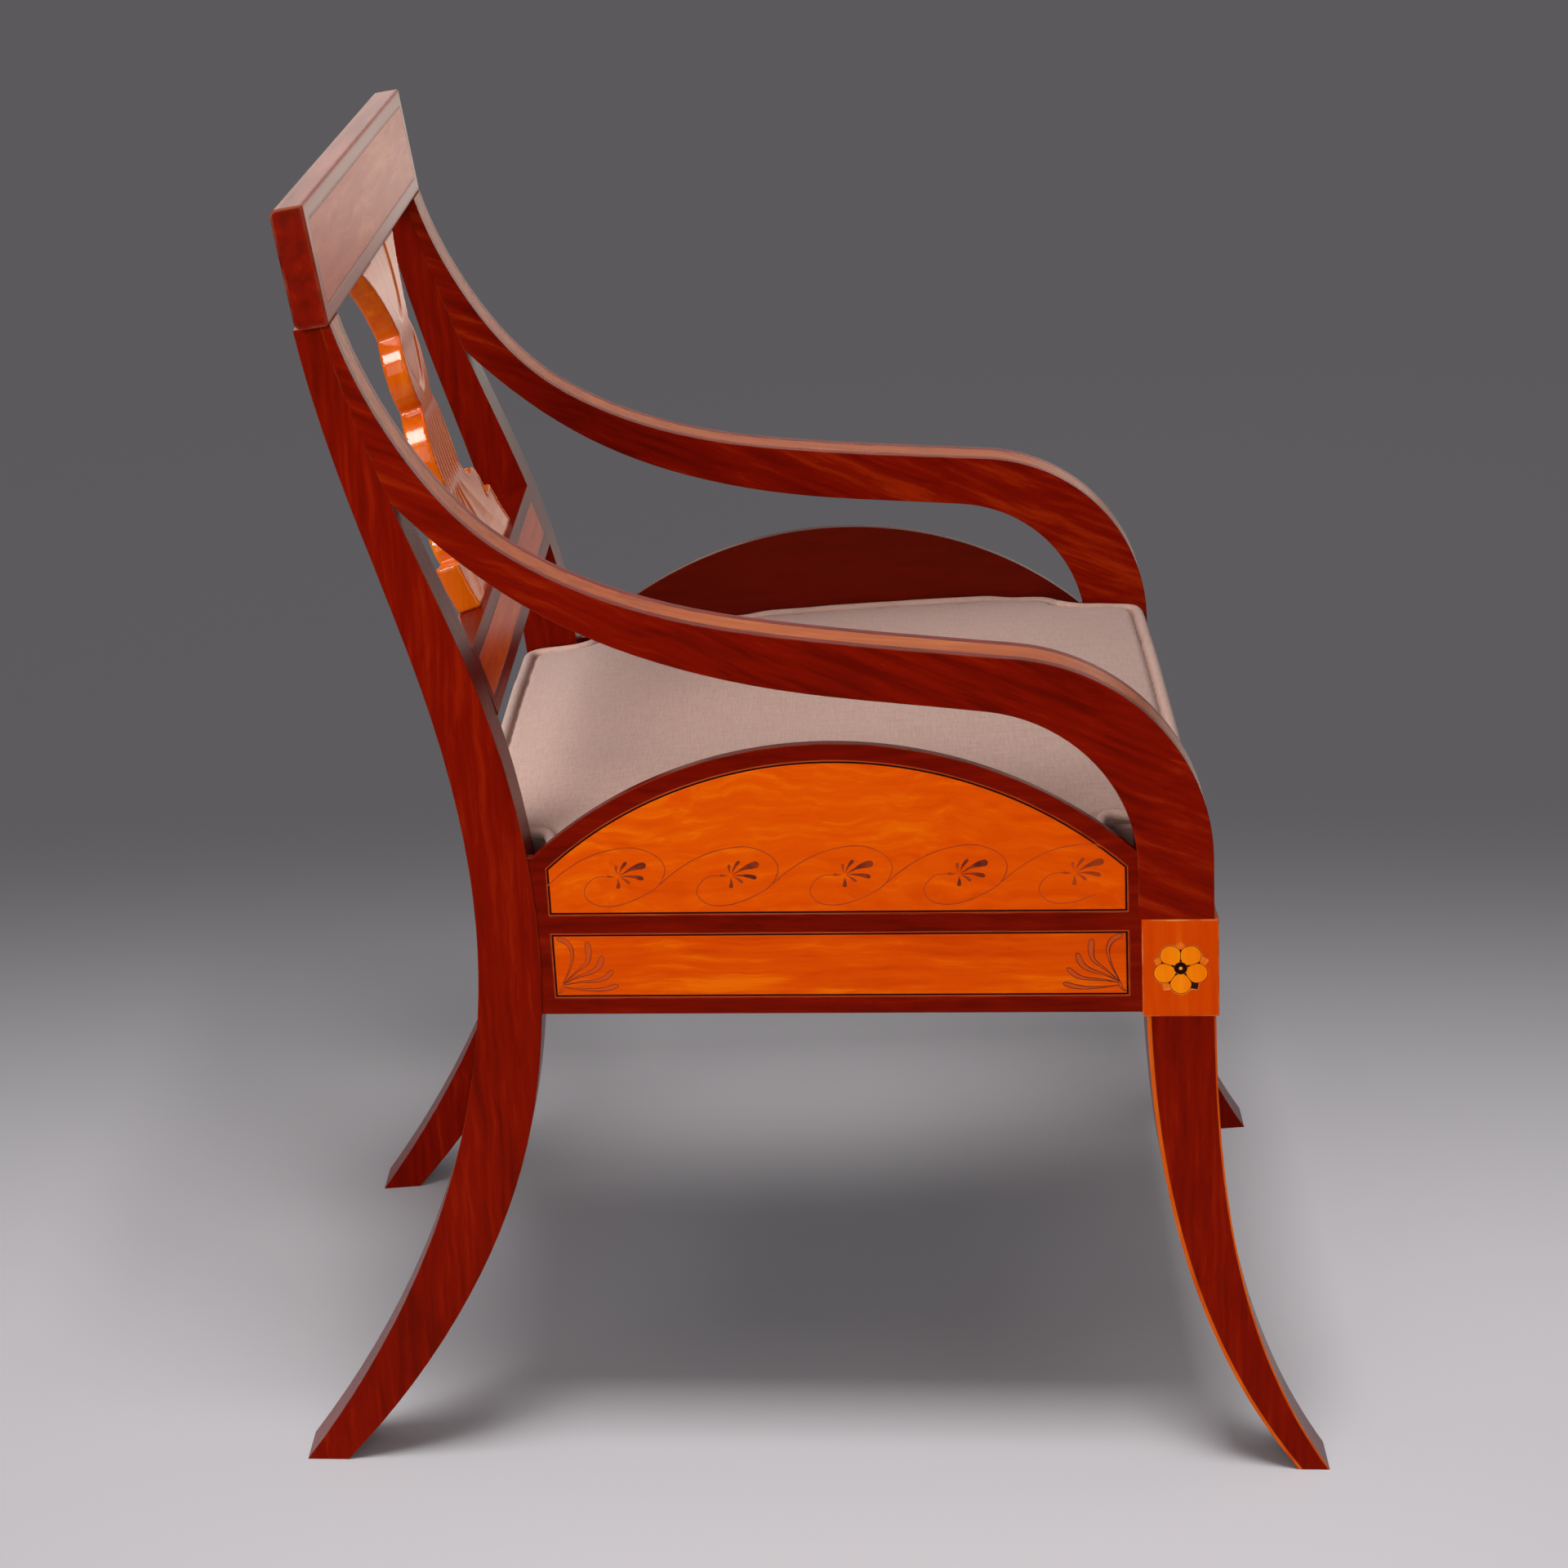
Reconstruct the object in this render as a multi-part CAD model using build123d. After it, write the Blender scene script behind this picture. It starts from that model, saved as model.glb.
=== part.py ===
from build123d import *
import os
from math import cos, radians, sin, sqrt, tan

# Empire armchair: mahogany frame, satin-birch panels and inlay, loose squab cushion.
# Millimetres. +Z is up, the chair faces -Y, X runs across it. The origin is on the floor,
# at the middle of the footprint. Right and left are the sitter's: right is -X, left is +X.

# Side frames: sawn planks that stand wider apart at the front
SPLAY = 4.7            # degrees between a side frame and the chair's centre plane
FRAME_HALF = 249.0     # centre plane to the outer face of a side frame, at mid depth
PLANK = 35.0           # thickness of posts, arms and legs

# Seat level: top of the blocks and seat rails. Rises are counted from here.
SEAT_TOP = 390.0

# Back post, rear leg and stile in one: front edge and depth at stations up its length
POST_FOOT_FRONT = 313.0
POST_FOOT_DEPTH = 28.0
POST_SHIN_HEIGHT = 110.0
POST_SHIN_FRONT = 229.0
POST_SHIN_DEPTH = 40.5
POST_CALF_HEIGHT = 220.0
POST_CALF_FRONT = 178.0
POST_CALF_DEPTH = 44.5
POST_KNEE_DROP = 5.0
POST_KNEE_FRONT = 155.8
POST_KNEE_DEPTH = 39.5
POST_WAIST_RISE = 150.0
POST_WAIST_FRONT = 181.0
POST_WAIST_DEPTH = 34.5
POST_FORK_RISE = 276.0
POST_FORK_FRONT = 226.0
POST_FORK_DEPTH = 25.5
POST_TOP_RISE = 400.0
POST_TOP_FRONT = 261.5
POST_TOP_DEPTH = 16.5

# Front leg: front edge and depth at stations up its length
LEG_FOOT_FRONT = -341.0
LEG_FOOT_DEPTH = 20.0
LEG_CALF_HEIGHT = 120.0
LEG_CALF_FRONT = -290.0
LEG_CALF_DEPTH = 31.0
LEG_SHIN_HEIGHT = 230.0
LEG_SHIN_FRONT = -272.5
LEG_SHIN_DEPTH = 39.0
LEG_TOP_FRONT = -269.0
LEG_TOP_DEPTH = 43.0

# Satin-birch block between front leg and arm support
BLOCK_HEIGHT = 65.0
BLOCK_FRONT = -270.8
BLOCK_DEPTH = 47.5
BLOCK_PROUD = 1.5      # the block stands out from the leg's outer face

# Arm and its support: hand curve, then the sweep up to the crest
ARM_FRONT = -268.2
ARM_DEPTH = 46.5
ARM_HAND_R = 131.0     # outer curve of the hand
ARM_HAND_RISE = 40.0   # where that curve starts
ARM_SLOPE = 6.0        # degrees of rise behind the hand
UNDER_HAND_R = 103.0   # inner curve of the hand
UNDER_HAND_RISE = 35.0
UNDER_SLOPE = 7.0
ARM_FEATHER = 5.4      # what is left of the arm where it dies into the post
FORK_LAP = 6.0         # how far an outline runs into the post before it is cut
# top edge: depth, rise and slope in degrees at stations
ARM_MIDDLE_Y = 13.5
ARM_MIDDLE_RISE = 189.5
ARM_MIDDLE_SLOPE = 9.0
ARM_BEND_Y = 161.5
ARM_BEND_RISE = 244.0
ARM_BEND_SLOPE = 35.0
ARM_NECK_Y = 228.0
ARM_NECK_RISE = 325.0
ARM_NECK_SLOPE = 62.0
ARM_TOP_SLOPE = 78.0
# underside: depth and rise at stations
UNDER_MIDDLE_Y = 15.0
UNDER_MIDDLE_RISE = 157.0
UNDER_BEND_Y = 118.0
UNDER_BEND_RISE = 192.0
UNDER_FORK_SLOPE = 48.0

# Side board with its arched top, let into post, block and arm support
BOARD = 6.0
BOARD_TONGUE = 5.0     # how deep it is let in
GROOVE_FIT = 0.1
BOARD_RECESS = 1.0     # its outer face lies behind the post's
BOARD_SHOULDER_RISE = 44.0
ARCH_RISE = 73.5       # arch over its shoulders
PANEL_SIDE = 7.5       # mahogany left beside the panels
ARCH_BORDER = 10.5     # mahogany left over the lunette
LUNETTE_SILL = 4.5     # lunette above the seat level
LOWER_HEAD = 7.5       # lower panel below the seat level
LOWER_SILL = 11.0      # lower panel above the rails' bottom

# Inlay
VENEER = 1.2
LIGHT_LINE = 0.8
DARK_LINE = 1.0
INLAY_GAP = 0.1
LEG_LINE_REAR = 2.5
LEG_LINE_FRONT = 1.2
BAND_WIDTH = 21.0
FLOWER_RING = 10.5     # petal centres from the flower's centre
PETAL_R = 6.6
FLOWER_EYE_R = 4.1
FLOWER_PIP_R = 1.5
SEPAL_TIP = 17.6
SEPAL_HALF = 3.6
PETALS = 5

# Crest rail: tablet board on the post tops
CREST_HALF = 230.5
CREST_HEIGHT = 73.5
CREST_DEPTH = 20.5
CREST_RISE = 387.0     # its front bottom edge
CREST_RAKE = 7.2
CREST_ROUND = 5.0      # long edges at the back
CREST_EASE = 1.5       # all other edges
CREST_BORDER = 11.0

# Stay rail between the posts
STAY_HEIGHT = 46.0
STAY_DEPTH = 20.0
STAY_RAKE = 17.0
STAY_BORDER = 10.0

# Splat: a bowed board with a lobed outline
SPLAT_DEPTH = 16.0
# front face behind the line from stay rail to crest rail, at heights up from the stay rail
SPLAT_FOOT_SET = 1.5
SPLAT_HOLLOW_UP = 84.0
SPLAT_HOLLOW_SET = 9.0
SPLAT_SWELL_UP = 150.0
SPLAT_SWELL_SET = 4.3
SPLAT_HEAD_SET = 0.6
# outline: half width, and height up from the stay rail
SPLAT_FOOT_HALF = 105.0
SPLAT_TIP_HALF = 102.0
SPLAT_TIP_UP = 32.0
SPLAT_NOTCH_HALF = 82.0
SPLAT_NOTCH_UP = 30.0
SPLAT_CURL_HALF = 82.0
SPLAT_CURL_UP = 45.0
SPLAT_LEAF_HALF = 66.0
SPLAT_LEAF_UP = 54.0
SPLAT_AXIL_HALF = 46.0
SPLAT_AXIL_UP = 57.0
SPLAT_STEM_HALF = 37.0
SPLAT_STEM_UP = 67.0
SPLAT_LOW_LOBE_HALF = 39.0
SPLAT_LOW_LOBE_UP = 94.0
SPLAT_LOW_NECK_HALF = 24.0
SPLAT_LOW_NECK_UP = 122.5
SPLAT_HIGH_LOBE_HALF = 36.5
SPLAT_HIGH_LOBE_UP = 148.0
SPLAT_HIGH_NECK_HALF = 26.0
SPLAT_HIGH_NECK_UP = 172.5
SPLAT_FLARE_HALF = 46.0
SPLAT_FLARE_UP = 199.0
SPLAT_HEAD_HALF = 78.0
TONGUE = 8.0           # tongue length and thickness
TONGUE_SIDE = 10.0     # shoulder at each side of a tongue
TONGUE_FIT = 0.2

# Seat rails and corner blocks
RAIL_DEPTH = 24.0
RAIL_HEIGHT = 63.0
FRONT_RAIL_SETBACK = 1.5
REAR_RAIL_SETBACK = 9.0     # behind the post's front edge
CORNER_LEG = 60.0
CORNER_HEIGHT = 26.0
CORNER_RISE = 4.0      # above the rails' bottom

# Platform and cushion
STRAP = 1.5
STRAP_WIDTH = 50.0
STRAP_PITCH_X = 90.0
STRAP_PITCH_Y = 100.0
STRAPS = 4
STRAP_LAP = 18.0       # how far a strap lies on what carries it
CLOTH = 1.0
CLOTH_INSET = 6.0
CUSHION_FRONT = -262.0
CUSHION_SHOULDER_GAP = 18.5   # in front of the wide part, to the arm support
CUSHION_HIP_GAP = 8.0         # behind the wide part, to the post
CUSHION_REAR = 196.0
CUSHION_GAP = 2.5      # to the wood beside it
CUSHION_LIFT = 0.3     # to the cloth below it
CUSHION_BELLY = 24.0   # height of the fullest line above the underside
CUSHION_CROWN_RISE = 68.0
CUSHION_CROWN_R = 2600.0
CUSHION_CROWN_Y = -90.0
CUSHION_DRAW_LOW = 5.0
CUSHION_DRAW_HIGH = 3.5
CUSHION_CORNER = 9.0
CUSHION_CREASE = 3.0

# Dowels and screws
DOWEL_R = 4.0
DOWEL_FIT = 0.1
DOWEL_END = 1.0        # air at the end of each hole
DOWEL_SHORT = 14.0     # part of a dowel in a post or block
DOWEL_LONG = 22.0      # part of a dowel in a rail or board
UPRIGHT_INSET = 12.0   # upright dowels from the outer face
UPRIGHT_PITCH = 14.0
DOWEL_WALL = 1.5       # wood between holes that cross
RAIL_DOWEL_RISE = 18.0 # height of the lower dowel above the rail's bottom
RAIL_DOWEL_PITCH = 27.0
CREST_DOWEL_SIDE = 9.0
ARM_DOWEL_DROP = 24.0  # arm dowels above the fork
SCREW_R = 2.1
SCREW_HEAD_R = 4.0
SCREW_HEAD = 3.0
SCREW_FIT = 0.15
CORNER_SCREW_SIDE = 40.0
CORNER_SCREW_SEAT = 12.0
CORNER_SCREW_BITE = 16.0
CORNER_SCREW_PITCH = 12.0

# Worked out from the sizes above
COS = cos(radians(SPLAY))
TAN = tan(radians(SPLAY))
REACH = 2.0 * FRAME_HALF
CREST_BOTTOM = SEAT_TOP + CREST_RISE
TALL = 2.0 * CREST_BOTTOM
RAIL_BOTTOM = SEAT_TOP - RAIL_HEIGHT
BOARD_SHOULDER = SEAT_TOP + BOARD_SHOULDER_RISE
LUNETTE_BOTTOM = SEAT_TOP + LUNETTE_SILL
LOWER_TOP = SEAT_TOP - LOWER_HEAD
LOWER_BOTTOM = RAIL_BOTTOM + LOWER_SILL
CORNER_BOTTOM = RAIL_BOTTOM + CORNER_RISE
CUSHION_CROWN = SEAT_TOP + CUSHION_CROWN_RISE
BLOCK_REAR = BLOCK_FRONT + BLOCK_DEPTH
BLOCK_BOTTOM = SEAT_TOP - BLOCK_HEIGHT
POST_WAIST_Z = SEAT_TOP + POST_WAIST_RISE
POST_FORK_Z = SEAT_TOP + POST_FORK_RISE
POST_TOP_Z = SEAT_TOP + POST_TOP_RISE
ARM_REAR = ARM_FRONT + ARM_DEPTH
BOARD_INNER = BOARD_RECESS + BOARD
SIDE_RAIL_INNER = BOARD_INNER + RAIL_DEPTH
BAND_INSET = (PLANK - BAND_WIDTH) / 2.0
FRONT_RAIL_FRONT = BLOCK_FRONT + FRONT_RAIL_SETBACK
FRONT_RAIL_BACK = FRONT_RAIL_FRONT + RAIL_DEPTH
REAR_RAIL_FRONT = POST_KNEE_FRONT + REAR_RAIL_SETBACK
REAR_RAIL_BACK = REAR_RAIL_FRONT + RAIL_DEPTH
STRAP_LEVEL = SEAT_TOP + STRAP
CLOTH_LEVEL = STRAP_LEVEL + STRAP
CUSHION_BOTTOM = CLOTH_LEVEL + CLOTH + CUSHION_LIFT
CREST_FRONT = POST_TOP_FRONT - ARM_FEATHER - (POST_TOP_Z - CREST_BOTTOM) / tan(radians(ARM_TOP_SLOPE))

# arch circle of the side board
ARCH_HALF = (POST_KNEE_FRONT - ARM_REAR) / 2.0
ARCH_Y = (POST_KNEE_FRONT + ARM_REAR) / 2.0
ARCH_R = (ARCH_HALF ** 2 + ARCH_RISE ** 2) / (2.0 * ARCH_RISE)
ARCH_Z = BOARD_SHOULDER + ARCH_RISE - ARCH_R


def half_width(y, inset=0.0):
    """Half width of the chair at depth y, to a face that lies inset from the outer one."""
    return FRAME_HALF - y * TAN - inset / COS


def polar(centre, radius, angle):
    return (centre[0] + radius * cos(radians(angle)), centre[1] + radius * sin(radians(angle)))


def slab(inset, thickness):
    """Upright slab of the right side frame, between two insets from its outer face."""
    outline = Polyline(
        (-half_width(-REACH, inset), -REACH),
        (-half_width(REACH, inset), REACH),
        (-half_width(REACH, inset + thickness), REACH),
        (-half_width(-REACH, inset + thickness), -REACH),
        close=True,
    )
    return Pos(0, 0, -TALL / 2.0) * extrude(make_face(outline), amount=2.0 * TALL)


def between(inset):
    """Upright prism between the two side frames, its sides inset from their outer faces."""
    outline = Polyline(
        (-half_width(-REACH, inset), -REACH),
        (half_width(-REACH, inset), -REACH),
        (half_width(REACH, inset), REACH),
        (-half_width(REACH, inset), REACH),
        close=True,
    )
    return Pos(0, 0, -TALL / 2.0) * extrude(make_face(outline), amount=2.0 * TALL)


def side(face, inset, thickness):
    """Piece of the right side frame: a side-view outline cut out of a slab."""
    return extrude(Plane.YZ * face, amount=-REACH) & slab(inset, thickness)


def across(face, half):
    """Piece that runs across the chair, with the same side-view outline all along."""
    return extrude(Plane.YZ * face, amount=half, both=True)


def rect(y0, y1, z0, z1):
    return make_face(Polyline((y0, z0), (y1, z0), (y1, z1), (y0, z1), close=True))


def rod(start, direction, length, radius):
    """Round rod from a start point along a direction."""
    plane = Plane(origin=start, z_dir=direction)
    return extrude(plane * Circle(radius), amount=length)


def peg(start, direction, before, after):
    """A dowel through the joint at start, and the hole for it."""
    axis = Vector(*direction).normalized()
    low = Vector(*start) - axis * before
    hole_low = Vector(*start) - axis * (before + DOWEL_END)
    pin = rod(low, axis, before + after, DOWEL_R)
    hole = rod(hole_low, axis, before + after + 2.0 * DOWEL_END, DOWEL_R + DOWEL_FIT)
    return pin, hole


def screw(seat, direction, bite, sink):
    """A screw whose head is seated at a point, and the hole with its counterbore."""
    axis = Vector(*direction).normalized()
    top = Vector(*seat) - axis * SCREW_HEAD
    mouth = Vector(*seat) - axis * sink
    pin = rod(top, axis, SCREW_HEAD, SCREW_HEAD_R) + rod(seat, axis, bite, SCREW_R)
    bore = rod(mouth, axis, sink, SCREW_HEAD_R + SCREW_FIT)
    hole = bore + rod(seat, axis, bite + SCREW_FIT, SCREW_R + SCREW_FIT)
    return pin, hole


def on_side(y, z, inset):
    """Point of the right side frame at a depth, a height and an inset."""
    return (-half_width(y, inset), y, z)


def left_of(piece):
    return mirror(piece, about=Plane.YZ)


# Back post
POST_STATIONS = (
    (0.0, POST_FOOT_FRONT, POST_FOOT_DEPTH),
    (POST_SHIN_HEIGHT, POST_SHIN_FRONT, POST_SHIN_DEPTH),
    (POST_CALF_HEIGHT, POST_CALF_FRONT, POST_CALF_DEPTH),
    (SEAT_TOP - POST_KNEE_DROP, POST_KNEE_FRONT, POST_KNEE_DEPTH),
    (POST_WAIST_Z, POST_WAIST_FRONT, POST_WAIST_DEPTH),
    (POST_FORK_Z, POST_FORK_FRONT, POST_FORK_DEPTH),
    (POST_TOP_Z, POST_TOP_FRONT, POST_TOP_DEPTH),
)


def post_face():
    front = [(y, z) for z, y, depth in POST_STATIONS]
    rear = [(y + depth, z) for z, y, depth in POST_STATIONS]
    return make_face(
        [Spline(*front), Line(front[-1], rear[-1]), Spline(*reversed(rear)), Line(rear[0], front[0])]
    )


# Crest rail frame: X across, Y up along the rake, Z out of the front face
CREST_UP = Vector(0, sin(radians(CREST_RAKE)), cos(radians(CREST_RAKE)))
CREST_OUT = Vector(0, -cos(radians(CREST_RAKE)), sin(radians(CREST_RAKE)))
CREST_PLANE = Plane(origin=(0, CREST_FRONT, CREST_BOTTOM), x_dir=(1, 0, 0), z_dir=CREST_OUT)
ABOVE_CREST = CREST_PLANE * Pos(0, TALL / 2.0, 0) * Box(4.0 * REACH, TALL, TALL)

# Stay rail frame, centred on the rail's front face
STAY_UP = Vector(0, sin(radians(STAY_RAKE)), cos(radians(STAY_RAKE)))
STAY_OUT = Vector(0, -cos(radians(STAY_RAKE)), sin(radians(STAY_RAKE)))
STAY_CENTRE = Vector(0, POST_WAIST_FRONT, POST_WAIST_Z)
STAY_PLANE = Plane(origin=STAY_CENTRE, x_dir=(1, 0, 0), z_dir=STAY_OUT)

# Splat frame, from the stay rail's top front edge to the crest rail's bottom front edge
SPLAT_FOOT = STAY_CENTRE + STAY_UP * (STAY_HEIGHT / 2.0)
SPLAT_HEAD = Vector(0, CREST_FRONT, CREST_BOTTOM)
SPLAT_LENGTH = (SPLAT_HEAD - SPLAT_FOOT).length
SPLAT_UP = (SPLAT_HEAD - SPLAT_FOOT).normalized()
SPLAT_OUT = Vector(0, -SPLAT_UP.Z, SPLAT_UP.Y)
SPLAT_PLANE = Plane(origin=SPLAT_FOOT, x_dir=(1, 0, 0), z_dir=SPLAT_OUT)

post = side(post_face(), 0.0, PLANK) - ABOVE_CREST


# Arm
def arm_top(sink=0.0):
    """Top edge of the arm from the block to above the crest's underside, sunk into the wood."""
    centre = (ARM_FRONT + ARM_HAND_R, SEAT_TOP + ARM_HAND_RISE)
    radius = ARM_HAND_R - sink
    base = (ARM_FRONT + sink, SEAT_TOP)
    spring = polar(centre, radius, 180.0)
    crown = polar(centre, radius, 90.0 + ARM_SLOPE)
    middle = polar(centre, radius, 135.0 + ARM_SLOPE / 2.0)
    stations = [(crown[0], crown[1], ARM_SLOPE)]
    for y, rise, slope in (
        (ARM_MIDDLE_Y, ARM_MIDDLE_RISE, ARM_MIDDLE_SLOPE),
        (ARM_BEND_Y, ARM_BEND_RISE, ARM_BEND_SLOPE),
        (ARM_NECK_Y, ARM_NECK_RISE, ARM_NECK_SLOPE),
        (POST_TOP_FRONT - ARM_FEATHER, POST_TOP_RISE, ARM_TOP_SLOPE),
    ):
        z = SEAT_TOP + rise
        stations.append((y + sink * sin(radians(slope)), z - sink * cos(radians(slope)), slope))
    points = [(y, z) for y, z, slope in stations]
    tangents = [polar((0.0, 0.0), 1.0, slope) for y, z, slope in stations]
    sweep = Spline(*points, tangents=tangents)
    return [Line(base, spring), ThreePointArc(spring, middle, crown), sweep]


def arm_face():
    top = arm_top()
    top_end = (POST_TOP_FRONT - ARM_FEATHER, POST_TOP_Z)
    lap_high = (POST_TOP_FRONT + FORK_LAP, POST_TOP_Z)
    lap_low = polar((POST_FORK_FRONT, POST_FORK_Z), FORK_LAP, UNDER_FORK_SLOPE)
    centre = (ARM_REAR + UNDER_HAND_R, SEAT_TOP + UNDER_HAND_RISE)
    spring = polar(centre, UNDER_HAND_R, 180.0)
    crown = polar(centre, UNDER_HAND_R, 90.0 + UNDER_SLOPE)
    middle = polar(centre, UNDER_HAND_R, 135.0 + UNDER_SLOPE / 2.0)
    bend = (UNDER_BEND_Y, SEAT_TOP + UNDER_BEND_RISE)
    middle_under = (UNDER_MIDDLE_Y, SEAT_TOP + UNDER_MIDDLE_RISE)
    under = Spline(
        lap_low, bend, middle_under, crown,
        tangents=[polar((0.0, 0.0), -1.0, UNDER_FORK_SLOPE), polar((0.0, 0.0), -1.0, UNDER_SLOPE)],
    )
    foot = (ARM_REAR, SEAT_TOP)
    return make_face(top + [
        Line(top_end, lap_high),
        Line(lap_high, lap_low),
        under,
        ThreePointArc(crown, middle, spring),
        Line(spring, foot),
        Line(foot, (ARM_FRONT, SEAT_TOP)),
    ])


def band_face(proud=0.0):
    """Thin layer along the top edge of the arm, which may stand proud of it."""
    outer = arm_top(-proud)
    inner = arm_top(VENEER)
    return make_face(outer + inner + [
        Line(outer[0] @ 0, inner[0] @ 0),
        Line(outer[-1] @ 1, inner[-1] @ 1),
    ])


arm_band = side(band_face(), BAND_INSET, BAND_WIDTH) - post - ABOVE_CREST
band_groove = side(band_face(VENEER), BAND_INSET, BAND_WIDTH)
arm = side(arm_face(), 0.0, PLANK) - band_groove - post - ABOVE_CREST


# Front leg, its edge lines, and the block on it
def leg_face(shift=0.0):
    stations = (
        (0.0, LEG_FOOT_FRONT, LEG_FOOT_DEPTH),
        (LEG_CALF_HEIGHT, LEG_CALF_FRONT, LEG_CALF_DEPTH),
        (LEG_SHIN_HEIGHT, LEG_SHIN_FRONT, LEG_SHIN_DEPTH),
        (BLOCK_BOTTOM, LEG_TOP_FRONT, LEG_TOP_DEPTH),
    )
    front = [(y + shift, z) for z, y, depth in stations]
    rear = [(y + depth + shift, z) for z, y, depth in stations]
    return make_face([
        Spline(*front), Line(front[-1], rear[-1]), Spline(*reversed(rear)), Line(rear[0], front[0])
    ])


leg_line_rear = side(leg_face() - leg_face(-LEG_LINE_REAR), 0.0, VENEER)
leg_line_front = side(leg_face() - leg_face(LEG_LINE_FRONT), 0.0, VENEER)
leg = side(leg_face(), 0.0, PLANK) - leg_line_rear - leg_line_front

BLOCK_Y = (BLOCK_FRONT + BLOCK_REAR) / 2.0
BLOCK_Z = (BLOCK_BOTTOM + SEAT_TOP) / 2.0
block = side(rect(BLOCK_FRONT, BLOCK_REAR, BLOCK_BOTTOM, SEAT_TOP), -BLOCK_PROUD, PLANK + BLOCK_PROUD)


# Flower inlay in the block's outer face
def flower_piece(face):
    return side(Pos(BLOCK_Y, BLOCK_Z) * face, -BLOCK_PROUD, VENEER)


def petal_faces():
    step = 360.0 / PETALS
    wedge = make_face(Polyline(
        (0.0, 0.0), polar((0, 0), 3 * FLOWER_RING, -step / 2), polar((0, 0), 3 * FLOWER_RING, step / 2),
        close=True,
    ))
    petal = (Pos(FLOWER_RING, 0) * Circle(PETAL_R)) & wedge
    petal = petal - Circle(FLOWER_EYE_R)
    return [Rot(0, 0, 54.0 + step * i) * petal for i in range(PETALS)]


def sepal_faces():
    step = 360.0 / PETALS
    sepal = make_face(Polyline(
        (FLOWER_RING, 0.0), (FLOWER_RING + SEPAL_HALF, -SEPAL_HALF), (SEPAL_TIP, 0.0),
        (FLOWER_RING + SEPAL_HALF, SEPAL_HALF), close=True,
    ))
    for angle in (-step / 2, step / 2):
        sepal = sepal - Pos(*polar((0, 0), FLOWER_RING, angle)) * Circle(PETAL_R)
    return [Rot(0, 0, 90.0 + step * i) * sepal for i in range(PETALS)]


petals = [flower_piece(face) for face in petal_faces()]
sepals = [flower_piece(face) for face in sepal_faces()]
flower_eye = flower_piece(Circle(FLOWER_EYE_R) - Circle(FLOWER_PIP_R))
flower_pip = flower_piece(Circle(FLOWER_PIP_R))
for inlay in petals + sepals + [flower_eye, flower_pip]:
    block = block - inlay


# Side board with its two panels and their lines
def board_face(fit=0.0):
    """Outline of the side board with its let-in ends, grown by a fit for the grooves."""
    back = POST_KNEE_FRONT + BOARD_TONGUE + fit
    front = BLOCK_REAR - BOARD_TONGUE - fit
    bottom = RAIL_BOTTOM - fit
    shoulder = BOARD_SHOULDER + fit
    return make_face([
        Line((front, bottom), (back, bottom)),
        Line((back, bottom), (back, shoulder)),
        Line((back, shoulder), (POST_KNEE_FRONT, shoulder)),
        ThreePointArc((POST_KNEE_FRONT, shoulder), (ARCH_Y, ARCH_Z + ARCH_R + fit), (ARM_REAR, shoulder)),
        Line((ARM_REAR, shoulder), (front, shoulder)),
        Line((front, shoulder), (front, bottom)),
    ])


def lunette(inset):
    """Upper panel outline, drawn in by an inset."""
    back = POST_KNEE_FRONT - PANEL_SIDE - inset
    front = BLOCK_REAR + PANEL_SIDE + inset
    bottom = LUNETTE_BOTTOM + inset
    radius = ARCH_R - ARCH_BORDER - inset
    back_top = (back, ARCH_Z + sqrt(radius ** 2 - (back - ARCH_Y) ** 2))
    front_top = (front, ARCH_Z + sqrt(radius ** 2 - (front - ARCH_Y) ** 2))
    return make_face([
        Line((front, bottom), (back, bottom)),
        Line((back, bottom), back_top),
        ThreePointArc(back_top, (ARCH_Y, ARCH_Z + radius), front_top),
        Line(front_top, (front, bottom)),
    ])


def lower_panel(inset):
    """Lower panel outline, drawn in by an inset."""
    back = POST_KNEE_FRONT - PANEL_SIDE - inset
    front = BLOCK_REAR + PANEL_SIDE + inset
    return rect(front, back, LOWER_BOTTOM + inset, LOWER_TOP - inset)


LIGHT_AT = INLAY_GAP
DARK_AT = LIGHT_AT + LIGHT_LINE + INLAY_GAP
PANEL_AT = DARK_AT + DARK_LINE + INLAY_GAP


def lines_and_panel(outline):
    """Faces of a light line, a dark line and the panel inside them."""
    light = outline(LIGHT_AT) - outline(LIGHT_AT + LIGHT_LINE)
    dark = outline(DARK_AT) - outline(DARK_AT + DARK_LINE)
    return light, dark, outline(PANEL_AT)


def board_inlay(face):
    return side(face, BOARD_RECESS, VENEER)


lunette_inlay = [board_inlay(face) for face in lines_and_panel(lunette)]
lower_inlay = [board_inlay(face) for face in lines_and_panel(lower_panel)]
board = side(board_face(), BOARD_RECESS, BOARD)
board = board - board_inlay(lunette(0.0)) - board_inlay(lower_panel(0.0))
groove = side(board_face(GROOVE_FIT), BOARD_RECESS - GROOVE_FIT, BOARD + 2.0 * GROOVE_FIT)
post = post - groove
arm = arm - groove
block = block - groove


# Crest rail with its panel
def crest_box(half, bottom, top, front, back):
    """Box in the crest's frame: half length, heights above its bottom, depths behind its front."""
    middle = Pos(0, (bottom + top) / 2.0, -(front + back) / 2.0)
    return CREST_PLANE * middle * Box(2.0 * half, top - bottom, back - front)


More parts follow.
